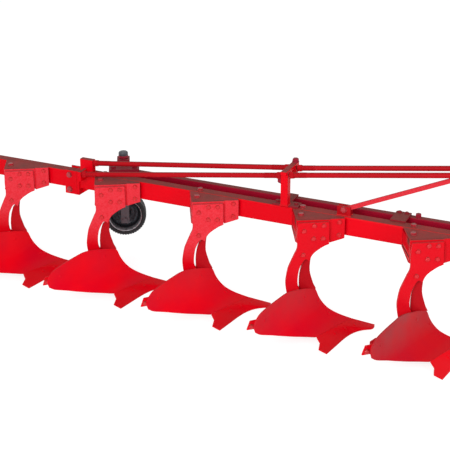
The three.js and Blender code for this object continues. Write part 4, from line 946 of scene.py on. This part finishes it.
def weld_tree():
    """Rippled bead swept along every seed line."""
    tree = Repeat("weld_beads", Radius="Float", Ripple="Float")
    line = tree.node("GeometryNodeMeshToCurve", sockets={0: tree.input("Geometry")})
    sockets = {"Curve": line, "Length": tree.input("Ripple")}
    fine = tree.node("GeometryNodeResampleCurve", {"mode": "LENGTH"}, sockets)
    number = tree.node("GeometryNodeInputIndex")
    wave = tree.node("ShaderNodeMath", {"operation": "SINE"}, {0: number * RIPPLE_TURN})
    swell = RIPPLE_MEAN + RIPPLE_SWING * wave
    bead = tree.node("GeometryNodeSetCurveRadius", sockets={"Curve": fine, "Radius": swell})
    return tree.close(tree.swept(bead, BEAD_SIDES, "Radius", Scale=swell))


def thread_tree():
    """Screw thread: a helix of a fine ridge, set along the facing of every seed point."""
    tree = Repeat("screw_thread", Radius="Float", Length="Float", Turns="Float", Ridge="Float")
    radius = tree.input("Radius")
    helix = tree.node("GeometryNodeCurveSpiral", sockets={
        "Resolution": TURN_STEPS, "Rotations": tree.input("Turns"), "Height": tree.input("Length"),
        "Start Radius": radius, "End Radius": radius,
    })
    return tree.on_seeds(tree.swept(helix, RIDGE_SIDES, "Ridge"), Rotation=tree.facing())


def tread_tree():
    """Small shoulder blocks in two rings round the axle at the seed point."""
    tree = Repeat("tread_blocks", Count="Int", Radius="Float", Aside="Float", Size="Vector")
    sockets = {"Vertices": tree.input("Count"), "Radius": tree.input("Radius")}
    ring = tree.node("GeometryNodeMeshCircle", sockets=sockets)
    sockets = {"Geometry": ring, "Rotation": (math.pi / 2, 0, 0)}
    upright = tree.node("GeometryNodeTransform", sockets=sockets)
    block = tree.node("GeometryNodeMeshCube", sockets={"Size": tree.input("Size")})
    outward = tree.turned_to(tree.node("GeometryNodeInputPosition"))
    blocks = tree.copies(upright, block, Rotation=outward)
    pair = tree.join([tree.shifted(blocks, Y=tree.input("Aside") * side) for side in (-1.0, 1.0)])
    return tree.on_seeds(pair)


def bolts(name, spots, across, height, finish):
    """Hexagon heads at the spots."""
    values = {"Across Flats": across, "Height": height, "Washer": across * WASHER_SHARE, "Sink": BOLT_SINK}
    run_tree(name, bolt_tree(), seed_points(spots), finish, values, angle=HEAD_ANGLE)


def threads(name, spots, values, finish, **labels):
    """Screw threads that start at the spots."""
    run_tree(name, thread_tree(), seed_points(spots), finish, values, angle=BEAD_ANGLE, **labels)


def welds(name, lines, radius, finish):
    """Weld beads along the lines."""
    values = {"Radius": radius, "Ripple": radius * RIPPLE_SHARE}
    run_tree(name, weld_tree(), seed_lines(lines), finish, values, angle=BEAD_ANGLE)


# Soil-working surface


def shin_slope(index):
    before = max(index - 1, 0)
    after = min(index + 1, len(SHIN_HEIGHTS) - 1)
    return (SHIN_AHEADS[after] - SHIN_AHEADS[before]) / (SHIN_HEIGHTS[after] - SHIN_HEIGHTS[before])


def shin_at(height):
    """How far ahead the shin lies at a height, on a smooth curve through its points."""
    i = len(SHIN_HEIGHTS) - 2
    for k in range(len(SHIN_HEIGHTS) - 1):
        if height <= SHIN_HEIGHTS[k + 1]:
            i = k
            break
    span = SHIN_HEIGHTS[i + 1] - SHIN_HEIGHTS[i]
    t = (height - SHIN_HEIGHTS[i]) / span
    level = SHIN_AHEADS[i] + t * t * (3 - 2 * t) * (SHIN_AHEADS[i + 1] - SHIN_AHEADS[i])
    return level + t * (1 - t) ** 2 * span * shin_slope(i) + t * t * (t - 1) * span * shin_slope(i + 1)


def surface_point(x, z):
    slope = math.tan(math.radians(WALL_ANGLE + WALL_TWIST * z / WALL_TWIST_HEIGHT))
    return Vector((x, min(0.0, -slope * (shin_at(z) - x)), z))


def surface_normal(x, z):
    here = surface_point(x, z)
    normal = (surface_point(x + 1, z) - here).cross(surface_point(x, z + 1) - here).normalized()
    return normal if normal.dot(FURROWWARD) > 0 else -normal


def board_rows(rows, steps):
    """Grid over the board's face, from its lower edge to its crest."""
    shin_top = [(shin_at(height), height) for height in BOARD_SHIN]
    upper = curve_through(shin_top + BOARD_CREST, steps)
    lower = curve_through([(shin_at(BOARD_FOOT), BOARD_FOOT)] + BOARD_LOWER, steps)
    made = []
    for r in range(rows + 1):
        share = r / rows
        made.append([surface_point(low.x + share * (high.x - low.x), low.y + share * (high.y - low.y))
                     for low, high in zip(lower, upper)])
    return made


def seam_point(share):
    """Point of the seam between board and share, by its share of the way back."""
    span = [(shin_at(BOARD_FOOT), BOARD_FOOT)] + BOARD_LOWER[:SEAM_COLUMNS]
    place = share * (len(span) - 1)
    i = min(int(place), len(span) - 2)
    part = place - i
    return surface_point(span[i][0] + part * (span[i + 1][0] - span[i][0]),
                         span[i][1] + part * (span[i + 1][1] - span[i][1]))


def share_rows(rows, steps):
    """Grid over the share's face, from its cutting edge to the seam."""
    last = len(SHARE_EDGE) - 1
    coarse = []
    for r in range(SEAM_ROWS + 1):
        line = []
        for c, spot in enumerate(SHARE_EDGE):
            low = Vector(spot)
            high = seam_point(c / last)
            high += (low - high).normalized() * SEAM_GAP
            heel = c == last and r == 1
            line.append(Vector(SHARE_HEEL) if heel else low.lerp(high, r / SEAM_ROWS))
        coarse.append(curve_through(line, steps))
    made = []
    for lower, upper in zip(coarse, coarse[1:]):
        for k in range(rows):
            made.append([a.lerp(b, k / rows) for a, b in zip(lower, upper)])
    made.append(coarse[-1])
    return made


def grid_behind(rows, outward, thickness_at):
    """Grid behind a face, flush with the furrow wall and the furrow bottom."""
    last_row, last_column = len(rows) - 1, len(rows[0]) - 1
    back = []
    for r, row in enumerate(rows):
        line = []
        for c, point in enumerate(row):
            along = row[min(c + 1, last_column)] - row[max(c - 1, 0)]
            across = rows[min(r + 1, last_row)][c] - rows[max(r - 1, 0)][c]
            normal = along.cross(across).normalized()
            if normal.dot(outward) < 0:
                normal = -normal
            behind = point - normal * thickness_at(r / last_row)
            line.append(Vector((behind.x, min(behind.y, 0), max(behind.z, 0))))
        back.append(line)
    return back


# Operators: one for each piece or group of like pieces


class PLOUGH_OT_stage(bpy.types.Operator):
    """Floor, lamps, surrounding light and camera"""

    bl_idname = "plough.stage"
    bl_label = "Stage"

    def execute(self, context):
        studio = context.scene.plough_studio
        self.floor()
        self.lamp("key_lamp", KEY_PLACE, KEY_SIDE, studio.key)
        self.lamp("fill_lamp", FILL_PLACE, FILL_SIDE, studio.fill)
        self.surround(context, studio.ambient)
        data = bpy.data.cameras.new("camera")
        data.lens = studio.lens
        data.sensor_width = SENSOR
        data.shift_y = studio.shift
        camera = linked("camera", data)
        camera.location = studio.eye
        camera.rotation_euler = studio.aim
        context.scene.camera = camera
        context.scene.view_settings.view_transform = "Standard"
        return {"FINISHED"}

    def floor(self):
        """Pale round floor that renders white and keeps the shadow."""
        edge = []
        for i in range(FLOOR_SIDES):
            turn = 2 * math.pi * i / FLOOR_SIDES
            edge.append((FLOOR_RADIUS * math.cos(turn), FLOOR_RADIUS * math.sin(turn), FLOOR_LEVEL))
        data = bpy.data.meshes.new("floor")
        data.from_pydata(edge, [], [tuple(range(FLOOR_SIDES))])
        coat = Finish("floor_white")
        matt, shadowed = [
            coat.node("ShaderNodeBsdfDiffuse", sockets={"Color": (tone, tone, tone, 1)})
            for tone in (FLOOR_TONE, SHADOWED_TONE)
        ]
        glow = coat.node("ShaderNodeEmission", sockets={"Color": WHITE, "Strength": FLOOR_GLOW})
        white = coat.node("ShaderNodeAddShader", sockets={0: shadowed, 1: glow})
        both = coat.node("ShaderNodeMixShader", sockets={0: coat.seen(), 1: matt, 2: white})
        coat.node("ShaderNodeOutputMaterial", sockets={"Surface": both})
        data.materials.append(coat.material)
        obj = linked("floor", data)

    def lamp(self, name, place, side, power):
        data = bpy.data.lights.new(name, "AREA")
        data.shape = "SQUARE"
        data.size = side
        data.energy = power
        obj = linked(name, data)
        obj.location = place
        obj.rotation_euler = (Vector(LIT_POINT) - Vector(place)).to_track_quat("-Z", "Y").to_euler()

    def surround(self, context, strength):
        """Even light from all sides, which shows as white."""
        world = bpy.data.worlds.new("surround")
        world.use_nodes = True
        world.node_tree.nodes.clear()
        sky = Graph(world.node_tree)
        plain, white = [
            sky.node("ShaderNodeBackground", sockets={"Color": WHITE, "Strength": level})
            for level in (strength, 1.0)
        ]
        both = sky.node("ShaderNodeMixShader", sockets={0: sky.seen(), 1: plain, 2: white})
        sky.node("ShaderNodeOutputWorld", sockets={"Surface": both})
        context.scene.world = world


class PLOUGH_OT_beams(bpy.types.Operator):
    """Main beams, rear section and the cross plate at the front"""

    bl_idname = "plough.beams"
    bl_label = "Beams"

    def execute(self, context):
        corner = sizes().tube_corner / MM
        near = Shape(lambda s, d, z: on_beam(s, d, z + BEAM_TOP - NEAR_TALL))
        front = self.front_from(0)
        near.tube(NEAR_WIDE, NEAR_TALL, NEAR_WALL, NEAR_REAR - SUNK, front, corner, NEAR_INSIDE)
        near.piece("near_beam_tube", "beam", FINE_EDGE, angle=SKIN_ANGLE, nodes=["near_beam"])
        self.near_fittings()
        far = Shape(lambda s, d, z: on_beam(s, d + FAR_NEAR, z + BEAM_TOP - FAR_TALL))
        front = self.front_from(FAR_NEAR)
        far.tube(FAR_WIDE, FAR_TALL, FAR_WALL, FAR_REAR, front, corner * FAR_CORNER_SHARE, FAR_INSIDE)
        far.piece("far_beam_tube", "far_beam", FINE_EDGE, angle=SKIN_ANGLE, nodes=["far_beam"])
        knob = Shape(on_beam)
        knob.turned(KNOB_PROFILE, (KNOB_ALONG, KNOB_ASIDE, BEAM_TOP), UP, facets=HEX, closed=False)
        knob.piece("far_beam_bolt", "dark", KNOB_EDGE)
        self.rear_section(corner)
        cross = Shape(on_beam)
        cross.block(*CROSS_PLATE)
        cross.piece("front_cross_plate_rounded", "dusty", sizes().edge, nodes=["front_cross_plate"])
        return {"FINISHED"}

    def front_from(self, offset):
        """Front end of a tube, cut square to the way of travel."""
        return lambda d: (BEAM_FRONT - (d + offset) * math.sin(TURN)) / math.cos(TURN)

    def near_fittings(self):
        """Joint plate, gusset, anchor block and lug on the near beam, and the clamp of the mast's stay."""
        fittings = Shape(on_beam)
        fittings.block((NEAR_REAR - JOINT_THICK, -JOINT_OVER, JOINT_LOW),
                       (NEAR_REAR, NEAR_WIDE + JOINT_OVER, JOINT_HIGH))
        rear, front, foot = NEAR_REAR - SUNK, NEAR_REAR + JOINT_GUSSET_LONG, BEAM_TOP - NEAR_TALL
        top = foot + JOINT_GUSSET_EDGE
        wedge = ((rear, JOINT_LOW), (front, foot), (front, top), (rear, top))
        fittings.loft([[(s, d, z) for s, z in wedge] for d in JOINT_GUSSET_SIDES])
        fittings.block(*ANCHOR)
        fittings.block(*LUG)
        fittings.piece("near_beam_fittings", "beam", sizes().edge)
        clamp = Shape(on_beam)
        for plate in CLAMPS:
            clamp.block(*plate)
        clamp.piece("near_beam_clamp", "shaded", sizes().edge)

    def rear_section(self, corner):
        """Tube of the rear section with its end plate, joint plate and cheeks."""
        rear = Shape(lambda s, d, z: on_beam(s, d, z + LAST_LOW))
        front = LAST_FRONT + SUNK
        rear.tube(LAST_WIDE, LAST_TALL, LAST_WALL, LAST_REAR, lambda d: front, corner, NEAR_INSIDE)
        rear.piece("rear_beam_tube", "beam", FINE_EDGE, angle=SKIN_ANGLE, nodes=["rear_beam"])
        plates = Shape(on_beam)
        plates.block((LAST_REAR - END_THICK, -CHEEK_THICK, LAST_LOW - CHEEK_THICK),
                     (LAST_REAR, LAST_WIDE + CHEEK_THICK, LAST_LOW + LAST_TALL + CHEEK_THICK))
        plates.block((LAST_FRONT, -JOINT_OVER, JOINT_LOW),
                     (NEAR_REAR - JOINT_THICK - JOINT_GAP, NEAR_WIDE + JOINT_OVER, JOINT_HIGH))
        for low in (-CHEEK_THICK, LAST_WIDE):
            plates.block((CHEEK_REAR, low, JOINT_LOW), (front, low + CHEEK_THICK, JOINT_HIGH))
        plates.piece("rear_beam_plates", "beam", sizes().edge)


class PLOUGH_OT_brackets(bpy.types.Operator):
    """Welded bracket of each body: web, gussets, closing plate and narrow front plate"""

    bl_idname = "plough.brackets"
    bl_label = "Brackets"

    def execute(self, context):
        on_each_body("bracket", "welded", self.draw, self.finish_for, sizes().edge)
        return {"FINISHED"}

    def finish_for(self, body):
        """The three rearmost carry a strong painted sheen."""
        return "chalked" if body <= MIDDLE else "plate"

    def draw(self, shape):
        web = [(WEB_REAR, WEB_LOW), (WEB_FRONT, WEB_LOW), (WEB_FRONT, BEAM_TOP), (WEB_REAR, BEAM_TOP)]
        narrow = [(NARROW_REAR, NARROW_REAR_LOW), (NARROW_FRONT, NARROW_FRONT_LOW),
                  (NARROW_FRONT, NARROW_TOP), (NARROW_REAR, NARROW_TOP)]
        far = beam_face(WEB_REAR + CLOSING_THICK, FACE_GAP)
        closing = [(GUSSET_NEAR, WEB_LOW), (far, CLOSING_LOW), (far, BEAM_TOP), (GUSSET_NEAR, BEAM_TOP)]
        shape.plate(web, WEB_NEAR, WEB_THICK)
        shape.plate(narrow, NARROW_NEAR, NARROW_THICK)
        shape.flat(self.gusset(NARROW_FRONT), BEAM_TOP - GUSSET_THICK, GUSSET_THICK)
        shape.flat(self.gusset(LOWER_GUSSET_FRONT), LOWER_GUSSET_LOW, GUSSET_THICK)
        shape.square(closing, WEB_REAR, CLOSING_THICK)

    def gusset(self, front):
        """Outline of a gusset, slanted where it meets the beam."""
        return [(WEB_REAR, GUSSET_NEAR), (front, GUSSET_NEAR), (front, beam_face(front, FACE_GAP)),
                (WEB_REAR, beam_face(WEB_REAR, FACE_GAP))]


class PLOUGH_OT_legs(bpy.types.Operator):
    """Slotted legs, cut from thick plate"""

    bl_idname = "plough.legs"
    bl_label = "Legs"

    def execute(self, context):
        on_each_body("leg", "plate", self.draw, self.finish_for, sizes().edge)
        return {"FINISHED"}

    def finish_for(self, body):
        """The three rearmost carry a strong painted sheen."""
        return "chalked_leg" if body <= MIDDLE else "leg"

    def draw(self, shape):
        outline = []
        for run in LEG_RUNS:
            outline += [(point.x, point.y) for point in curve_through(run, steps=5)[:-1]]
        shape.plate(outline, LEG_NEAR, LEG_THICK)


class PLOUGH_OT_frogs(bpy.types.Operator):
    """Frogs, landsides and the braces behind the boards"""

    bl_idname = "plough.frogs"
    bl_label = "Frogs and landsides"

    def execute(self, context):
        for body in BODIES:
            softened(f"frog_{body}", "shaded", "shaded_red_paint", FROG_EDGE)
            softened(f"landside_{body}", "shaded", "shaded_red_paint", FROG_EDGE)
            self.lean(softened(f"mouldboard_brace_{body}", "share", "shaded_red_paint", FROG_EDGE))
        return {"FINISHED"}

    def lean(self, piece):
        """Slants the end of a brace, so that its lower corner lies further back."""
        verts = piece.data.vertices
        rear = min(vert.co.x for vert in verts)
        heights = [vert.co.z for vert in verts if vert.co.x < rear + BRACE_END_BAND]
        middle = (min(heights) + max(heights)) / 2
        for vert in verts:
            near_end = max(0.0, 1 - (vert.co.x - rear) / BRACE_LEAN_REACH)
            slanted = vert.co.x + near_end * BRACE_LEAN_SLOPE * (vert.co.z - middle)
            vert.co.x = max(slanted, cad_box[0][0])


class PLOUGH_OT_boards(bpy.types.Operator):
    """Mouldboards: curved plates swept back from the shin"""

    bl_idname = "plough.boards"
    bl_label = "Mouldboards"

    def execute(self, context):
        front = board_rows(rows=22, steps=5)
        back = grid_behind(front, FURROWWARD, lambda rise: BOARD_THICK)
        on_each_body("mouldboard", "curved", lambda shape: shape.skin(front, back),
                     lambda body: f"board_{body}", BOARD_EDGE, angle=SKIN_ANGLE)
        return {"FINISHED"}


class PLOUGH_OT_shares(bpy.types.Operator):
    """Pointed shares under the boards"""

    bl_idname = "plough.shares"
    bl_label = "Shares"

    def execute(self, context):
        front = share_rows(rows=6, steps=6)
        back = grid_behind(front, SHARE_OUTWARD, self.thickness)
        on_each_body("share", "forged", lambda shape: shape.skin(front, back),
                     lambda body: "share", SHARE_EDGE_ROUND, angle=SKIN_ANGLE)
        return {"FINISHED"}

    def thickness(self, rise):
        """Thin at the cutting edge, full from partway up."""
        return SHARE_EDGE_THICK + (SHARE_THICK - SHARE_EDGE_THICK) * min(1, rise / SHARE_TAPER_SHARE)


class PLOUGH_OT_stays(bpy.types.Operator):
    """Stay post, long stays with nuts and threads, and the diagonal stay of the mast"""

    bl_idname = "plough.stays"
    bl_label = "Stays"

    def execute(self, context):
        base = Shape(on_beam)
        base.block(*POST_PLATE)
        base.block(*POST_STRAP)
        base.piece("stay_post_base", "dusty", sizes().edge)
        post = Shape(on_beam)
        for part in (POST, CROSSBAR, STAY_BLOCK):
            post.block(*part)
        post.piece("stay_post_welded", "beam", sizes().edge, nodes=["stay_post"])
        for name in ("near_stay_rear", "near_stay_front", "far_stay_rear", "far_stay_front"):
            self.stay(name)
        # The mast's stay gets a lighter red as a painted highlight
        softened("mast_stay", "faded", "shaded_red_paint", BAR_EDGE)
        return {"FINISHED"}

    def stay(self, name):
        """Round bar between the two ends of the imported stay, with a chamfered nut on each end."""
        start, end = self.ends(name)
        along = (end - start).normalized()
        span = (end - start).length
        radius = sizes().stay / 2
        chamfer, rise = radius * STAY_CHAMFER_SHARE, NUT_LONG * NUT_CHAMFER_SHARE
        slim, face = radius * NUT_FACE_SHARE, NUT_RADIUS * NUT_FACE_SHARE
        rod = Shape(in_metres)
        bar = [(0, 0), (radius - chamfer, 0), (radius, chamfer), (radius, span - chamfer),
               (radius - chamfer, span), (0, span)]
        rod.turned(bar, start, along, facets=ROD_SIDES, closed=False)
        nut = [(slim, 0), (face, 0), (NUT_RADIUS, rise), (NUT_RADIUS, NUT_LONG - rise),
               (face, NUT_LONG), (slim, NUT_LONG)]
        for base, way in ((start, along), (end, -along)):
            rod.turned(nut, base, way, facets=HEX)
        rod.piece(f"{name}_round", "shaded", angle=ROD_ANGLE, slot="shaded_red_paint", nodes=[name])
        far_nut = end - along * (NUT_LONG + STAY_THREAD["Length"])
        spots = [(start + along * NUT_LONG, along), (far_nut, along)]
        values = {"Radius": radius, **STAY_THREAD}
        threads(f"{name}_thread", spots, values, "shaded", slot="shaded_red_paint")

    def ends(self, name):
        """End points of a packed stay: its vertices spread along one line."""
        verts = [v.co.copy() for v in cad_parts[name].data.vertices]
        centre = sum(verts, Vector()) / len(verts)
        low = min(verts, key=lambda co: co.x)
        high = max(verts, key=lambda co: co.x)
        axis = (high - low).normalized()
        for _ in range(3):
            tail = [co for co in verts if (co - centre).dot(axis) < 0]
            head = [co for co in verts if (co - centre).dot(axis) >= 0]
            first, second = sum(tail, Vector()) / len(tail), sum(head, Vector()) / len(head)
            axis = (second - first).normalized()
        middle = (first + second) / 2
        reach = [(co - middle).dot(axis) for co in verts]
        return middle + axis * min(reach), middle + axis * max(reach)


class PLOUGH_OT_headstock(bpy.types.Operator):
    """Cross tube with hangers, mast, link pins and linch pins"""

    bl_idname = "plough.headstock"
    bl_label = "Headstock"

    def execute(self, context):
        for name in ("hitch_tube", "mast_bar_right", "mast_bar_left", "mast_head"):
            softened(name, "beam", "red_paint", CASTING_EDGE)
        for name in ("lower_link_pin_right", "lower_link_pin_left", "top_link_pin",
                     "linch_pin_right", "linch_pin_left", "linch_pin_top"):
            softened(name, "zinc", "zinc_plate", PIN_EDGE)
        return {"FINISHED"}


class PLOUGH_OT_wheel(bpy.types.Operator):
    """Depth wheel with its bracket, post, spindle, rim and tyre"""

    bl_idname = "plough.wheel"
    bl_label = "Depth wheel"

    def execute(self, context):
        softened("wheel_bracket", "dark", "dark_paint", CASTING_EDGE)
        softened("wheel_post", "post", "dark_paint", BAR_EDGE, "wheel_carriage")
        self.spindle()
        self.rim()
        self.tyre()
        return {"FINISHED"}

    def spindle(self):
        """Collar and stem, the cap on top, and the screw's thread."""
        stem = Shape(at_body)
        stem.turned(STEM_PROFILE, POST_AXIS, UP, facets=CAP_SIDES, closed=False)
        stem.piece("depth_spindle_collar", "dark", angle=CAP_ANGLE, slot="grey_steel", body="spindle")
        cap = Shape(at_body)
        cap.turned(CAP_PROFILE, POST_AXIS, UP, facets=CAP_SIDES, closed=False)
        labels = {"slot": "grey_steel", "nodes": ["depth_spindle"], "body": "spindle"}
        cap.piece("depth_spindle_turned", "grey", angle=CAP_ANGLE, **labels)
        spots = [(at_body(POST_AXIS[0], POST_AXIS[1], SPINDLE_LOW), UP)]
        labels = {"slot": "grey_steel", "body": "spindle"}
        threads("depth_spindle_thread", spots, SPINDLE_THREAD, "zinc", **labels)

    def rim(self):
        """Hub, dish and wall of the rim in one turned piece."""
        shape = Shape(at_body)
        shape.turned(RIM_PROFILE, WHEEL_CENTRE, -NEARWARD, facets=RIM_SIDES)
        labels = {"slot": "bare_steel", "nodes": ["wheel_rim"], "body": "wheel"}
        shape.piece("wheel_rim_dished", "rim", angle=RIM_ANGLE, **labels)

    def tyre(self):
        """Tyre with beads, grooves and shoulder blocks."""
        shape = Shape(at_body)
        profile = TYRE_HALF + [(r, -h) for r, h in reversed(TYRE_HALF)]
        shape.turned(profile, WHEEL_CENTRE, -NEARWARD, facets=TYRE_SIDES)
        labels = {"slot": "tyre_rubber", "body": "wheel"}
        shape.piece("wheel_tyre_moulded", "rubber", angle=SKIN_ANGLE, nodes=["wheel_tyre"], **labels)
        seeds = seed_points([(at_body(*WHEEL_CENTRE), UP)])
        values = {"Count": sizes().tread_blocks, **TREAD}
        run_tree("wheel_tyre_blocks", tread_tree(), seeds, "rubber", values, **labels)


class PLOUGH_OT_fasteners(bpy.types.Operator):
    """Bolts of the legs, brackets, boards, shares, beams and rear joint"""

    bl_idname = "plough.fasteners"
    bl_label = "Bolts"

    def execute(self, context):
        self.leg_bolts()
        self.beam_bolts()
        spots = [(on_beam(s, d, PLATE_TOP), UP) for s, d in CROSS_SPOTS + POST_PLATE_SPOTS]
        bolts("plate_bolts", spots, *PLATE_BOLT, "dusty")
        self.plough_bolts()
        self.lug_bolts()
        spots = [(on_beam(*CROSSBAR_SPOT), UP), (on_beam(*POST_SPOT), BEAM_REARWARD)]
        bolts("post_bolts", spots, *POST_BOLT, "dark")
        return {"FINISHED"}

    def leg_bolts(self):
        spots = []
        for body in BODIES:
            spots += [(at_body(x, LEG_NEAR, z, body), NEARWARD) for x, z in LEG_SPOTS]
            spots += [(at_body(x, NARROW_NEAR, z, body), NEARWARD) for x, z in NARROW_SPOTS]
        bolts("leg_bolts", spots, sizes().bolt_across, sizes().bolt_rise, "bolt")

    def beam_bolts(self):
        """Large bolts of the gussets, the beam's top, the joint's cheek and the clamp."""
        spots = [(at_body(*GUSSET_SPOT, BEAM_TOP, body), UP) for body in BODIES]
        behind = [(body - MIDDLE) * PITCH - BEAM_SPOT_BEHIND for body in BODIES if body > 1]
        spots += [(on_beam(s, BEAM_SPOT_ASIDE, BEAM_TOP), UP) for s in behind]
        cheek = (CHEEK_REAR + LAST_FRONT) / 2
        spots += [(on_beam(cheek, -CHEEK_THICK, z), BEAM_NEARWARD) for z in CHEEK_SPOT_HEIGHTS]
        spots.append((on_beam(*CLAMP_SPOT), BEAM_NEARWARD))
        bolts("beam_bolts", spots, *BEAM_BOLT, "fastener")

    def lug_bolts(self):
        """Bolt on the lug that holds each board's tail."""
        spots = []
        for body in BODIES:
            verts = [v.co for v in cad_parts[f"mouldboard_brace_{body}"].data.vertices]
            rear = min(co.x for co in verts)
            end = [co for co in verts if co.x < rear + LUG_BAND]
            middle = sum(end, Vector()) / len(end)
            spots.append((Vector((rear + LUG_BOLT_AHEAD, min(co.y for co in end), middle.z)), NEARWARD))
        bolts("lug_bolts", spots, *LUG_BOLT, "bolt")

    def plough_bolts(self):
        """Flush bolts of the boards and shares, painted with the piece that they hold."""
        tree = disc_tree()
        values = {"Radius": FLUSH_BOLT_RADIUS, "Height": FLUSH_BOLT_HEIGHT, "Sink": BOLT_SINK}
        for body in BODIES:
            on_board = [(at_body(*surface_point(x, z), body), surface_normal(x, z)) for x, z in BOARD_SPOTS]
            on_share = [self.share_spot(share, body) for share in SHARE_SPOT_SHARES]
            held = (("mouldboard", on_board, f"board_{body}"), ("share", on_share, "share"))
            for kind, spots, finish in held:
                run_tree(f"{kind}_{body}_bolts", tree, seed_points(spots), finish, values)

    def share_spot(self, share, body):
        """Place and facing of a share bolt, partway up from the cutting edge to the seam."""
        place = share * (len(SHARE_EDGE) - 1)
        i = int(place)
        low = Vector(SHARE_EDGE[i]).lerp(Vector(SHARE_EDGE[i + 1]), place - i)
        high = seam_point(share)
        normal = (seam_point(share + SHARE_SPOT_STEP_SHARE) - high).cross(low - high).normalized()
        if normal.z < 0:
            normal = -normal
        return at_body(*low.lerp(high, SHARE_SPOT_RISE_SHARE), body), normal


class PLOUGH_OT_welds(bpy.types.Operator):
    """Weld beads where brackets, posts and joint plates meet their beams"""

    bl_idname = "plough.welds"
    bl_label = "Welds"

    def execute(self, context):
        radius = sizes().weld
        lines = [[at_body(*end, body) for end in bead] for body in BODIES for bead in self.bracket_beads()]
        welds("bracket_welds", lines, radius * BRACKET_WELD_SHARE, "plate")
        welds("beam_welds", self.foot_beads() + self.joint_beads(), radius, "beam")
        return {"FINISHED"}

    def bracket_beads(self):
        """Beads of one bracket: gussets to the beam, closing plate, narrow plate and upper gusset."""
        rear, top = WEB_REAR + BEAD_REAR_SHORT, BEAM_TOP - BEAD_TOP_DROP
        back, narrow = WEB_REAR - BEAD_STAND, NARROW_NEAR - NARROW_BEAD_STAND
        far = beam_face(WEB_REAR, BEAD_FACE_GAP)
        high = BEAM_TOP - FOOT_SUNK
        gussets = ((NARROW_FRONT - UPPER_BEAD_SHORT, top),
                   (LOWER_GUSSET_FRONT - LOWER_BEAD_SHORT, LOWER_GUSSET_LOW + BEAD_STAND))
        beads = [[(x, beam_face(x, BEAD_FACE_GAP), z) for x in (rear, front)] for front, z in gussets]
        beads.append([(back, far - CLOSING_BEAD_SHORT, z) for z in (CLOSING_BEAD_LOW, high)])
        beads.append([(back, GUSSET_NEAR + CLOSING_BEAD_ASIDE, WEB_LOW + CLOSING_BEAD_SHORT),
                      (back, far - CLOSING_BEAD_ASIDE, CLOSING_LOW + CLOSING_BEAD_SHORT)])
        beads.append([(NARROW_REAR, narrow, z) for z in (NARROW_BEAD_LOW, high)])
        inside = WEB_NEAR + WEB_THICK - BEAD_STAND
        beads.append([(x, inside, top) for x in (rear, NARROW_REAR - LOWER_BEAD_SHORT)])
        return beads

    def foot_beads(self):
        """Beads round the feet of the anchor block, the post and the clamp."""
        beads = []
        feet = [(ANCHOR, BEAM_TOP), (POST, PLATE_TOP)] + [(plate, BEAM_TOP) for plate in CLAMPS]
        for ((s0, d0, _), (s1, d1, _)), z in feet:
            corners = [(s0, d0), (s1, d0), (s1, d1), (s0, d1), (s0, d0)]
            beads.append([on_beam(s, d, z) for s, d in corners])
        return beads

    def joint_beads(self):
        """Beads round the beams' rear ends, round the lug and under the crossbar."""
        beads = []
        ends = ((NEAR_REAR, BEAM_TOP - NEAR_TALL, NEAR_WIDE, NEAR_TALL),
                (LAST_REAR, LAST_LOW, LAST_WIDE, LAST_TALL))
        for s, low, wide, tall in ends:
            high = low + tall
            sides = [(0, low), (wide, low), (wide, high), (0, high), (0, low)]
            beads.append([on_beam(s, d, z) for d, z in sides])
        (rear, _, low), (front, _, _) = LUG
        sides = [(rear, low), (front, low), (front, BEAM_TOP), (rear, BEAM_TOP), (rear, low)]
        beads.append([on_beam(s, 0, z) for s, z in sides])
        (rear, _, low), _ = CROSSBAR
        beads.append([on_beam(rear, d, low) for d in (CROSSBAR_BEAD_NEAR, CROSSBAR_BEAD_FAR)])
        return beads


class PLOUGH_PT_panel(bpy.types.Panel):
    """Lists the plough's operators and settings."""

    bl_label = "Plough"
    bl_idname = "PLOUGH_PT_panel"
    bl_space_type = "VIEW_3D"
    bl_region_type = "UI"
    bl_category = "Plough"

    def draw(self, context):
        layout = self.layout
        for step in STEPS:
            layout.operator(step.bl_idname)
        for group in GROUPS:
            settings = getattr(context.scene, group)
            box = layout.box()
            for name in settings.bl_rna.properties.keys():
                if name not in ("rna_type", "name"):
                    box.prop(settings, name)


STEPS = (
    PLOUGH_OT_stage, PLOUGH_OT_beams, PLOUGH_OT_brackets, PLOUGH_OT_legs, PLOUGH_OT_frogs,
    PLOUGH_OT_boards, PLOUGH_OT_shares, PLOUGH_OT_stays, PLOUGH_OT_headstock, PLOUGH_OT_wheel,
    PLOUGH_OT_fasteners, PLOUGH_OT_welds,
)
GROUPS = {"plough_paint": PloughPaint, "plough_sizes": PloughSizes, "plough_studio": PloughStudio}


def register():
    for kind in (*GROUPS.values(), *STEPS, PLOUGH_PT_panel):
        bpy.utils.register_class(kind)
    for name, kind in GROUPS.items():
        setattr(bpy.types.Scene, name, PointerProperty(type=kind))


def unregister():
    for name in GROUPS:
        delattr(bpy.types.Scene, name)
    for kind in (PLOUGH_PT_panel, *reversed(STEPS), *reversed(GROUPS.values())):
        bpy.utils.unregister_class(kind)


def main():
    register()
    mix_finishes()
    for step in STEPS:
        family, name = step.bl_idname.split(".")
        getattr(getattr(bpy.ops, family), name)()
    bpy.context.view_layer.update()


if __name__ == "__main__":
    main()
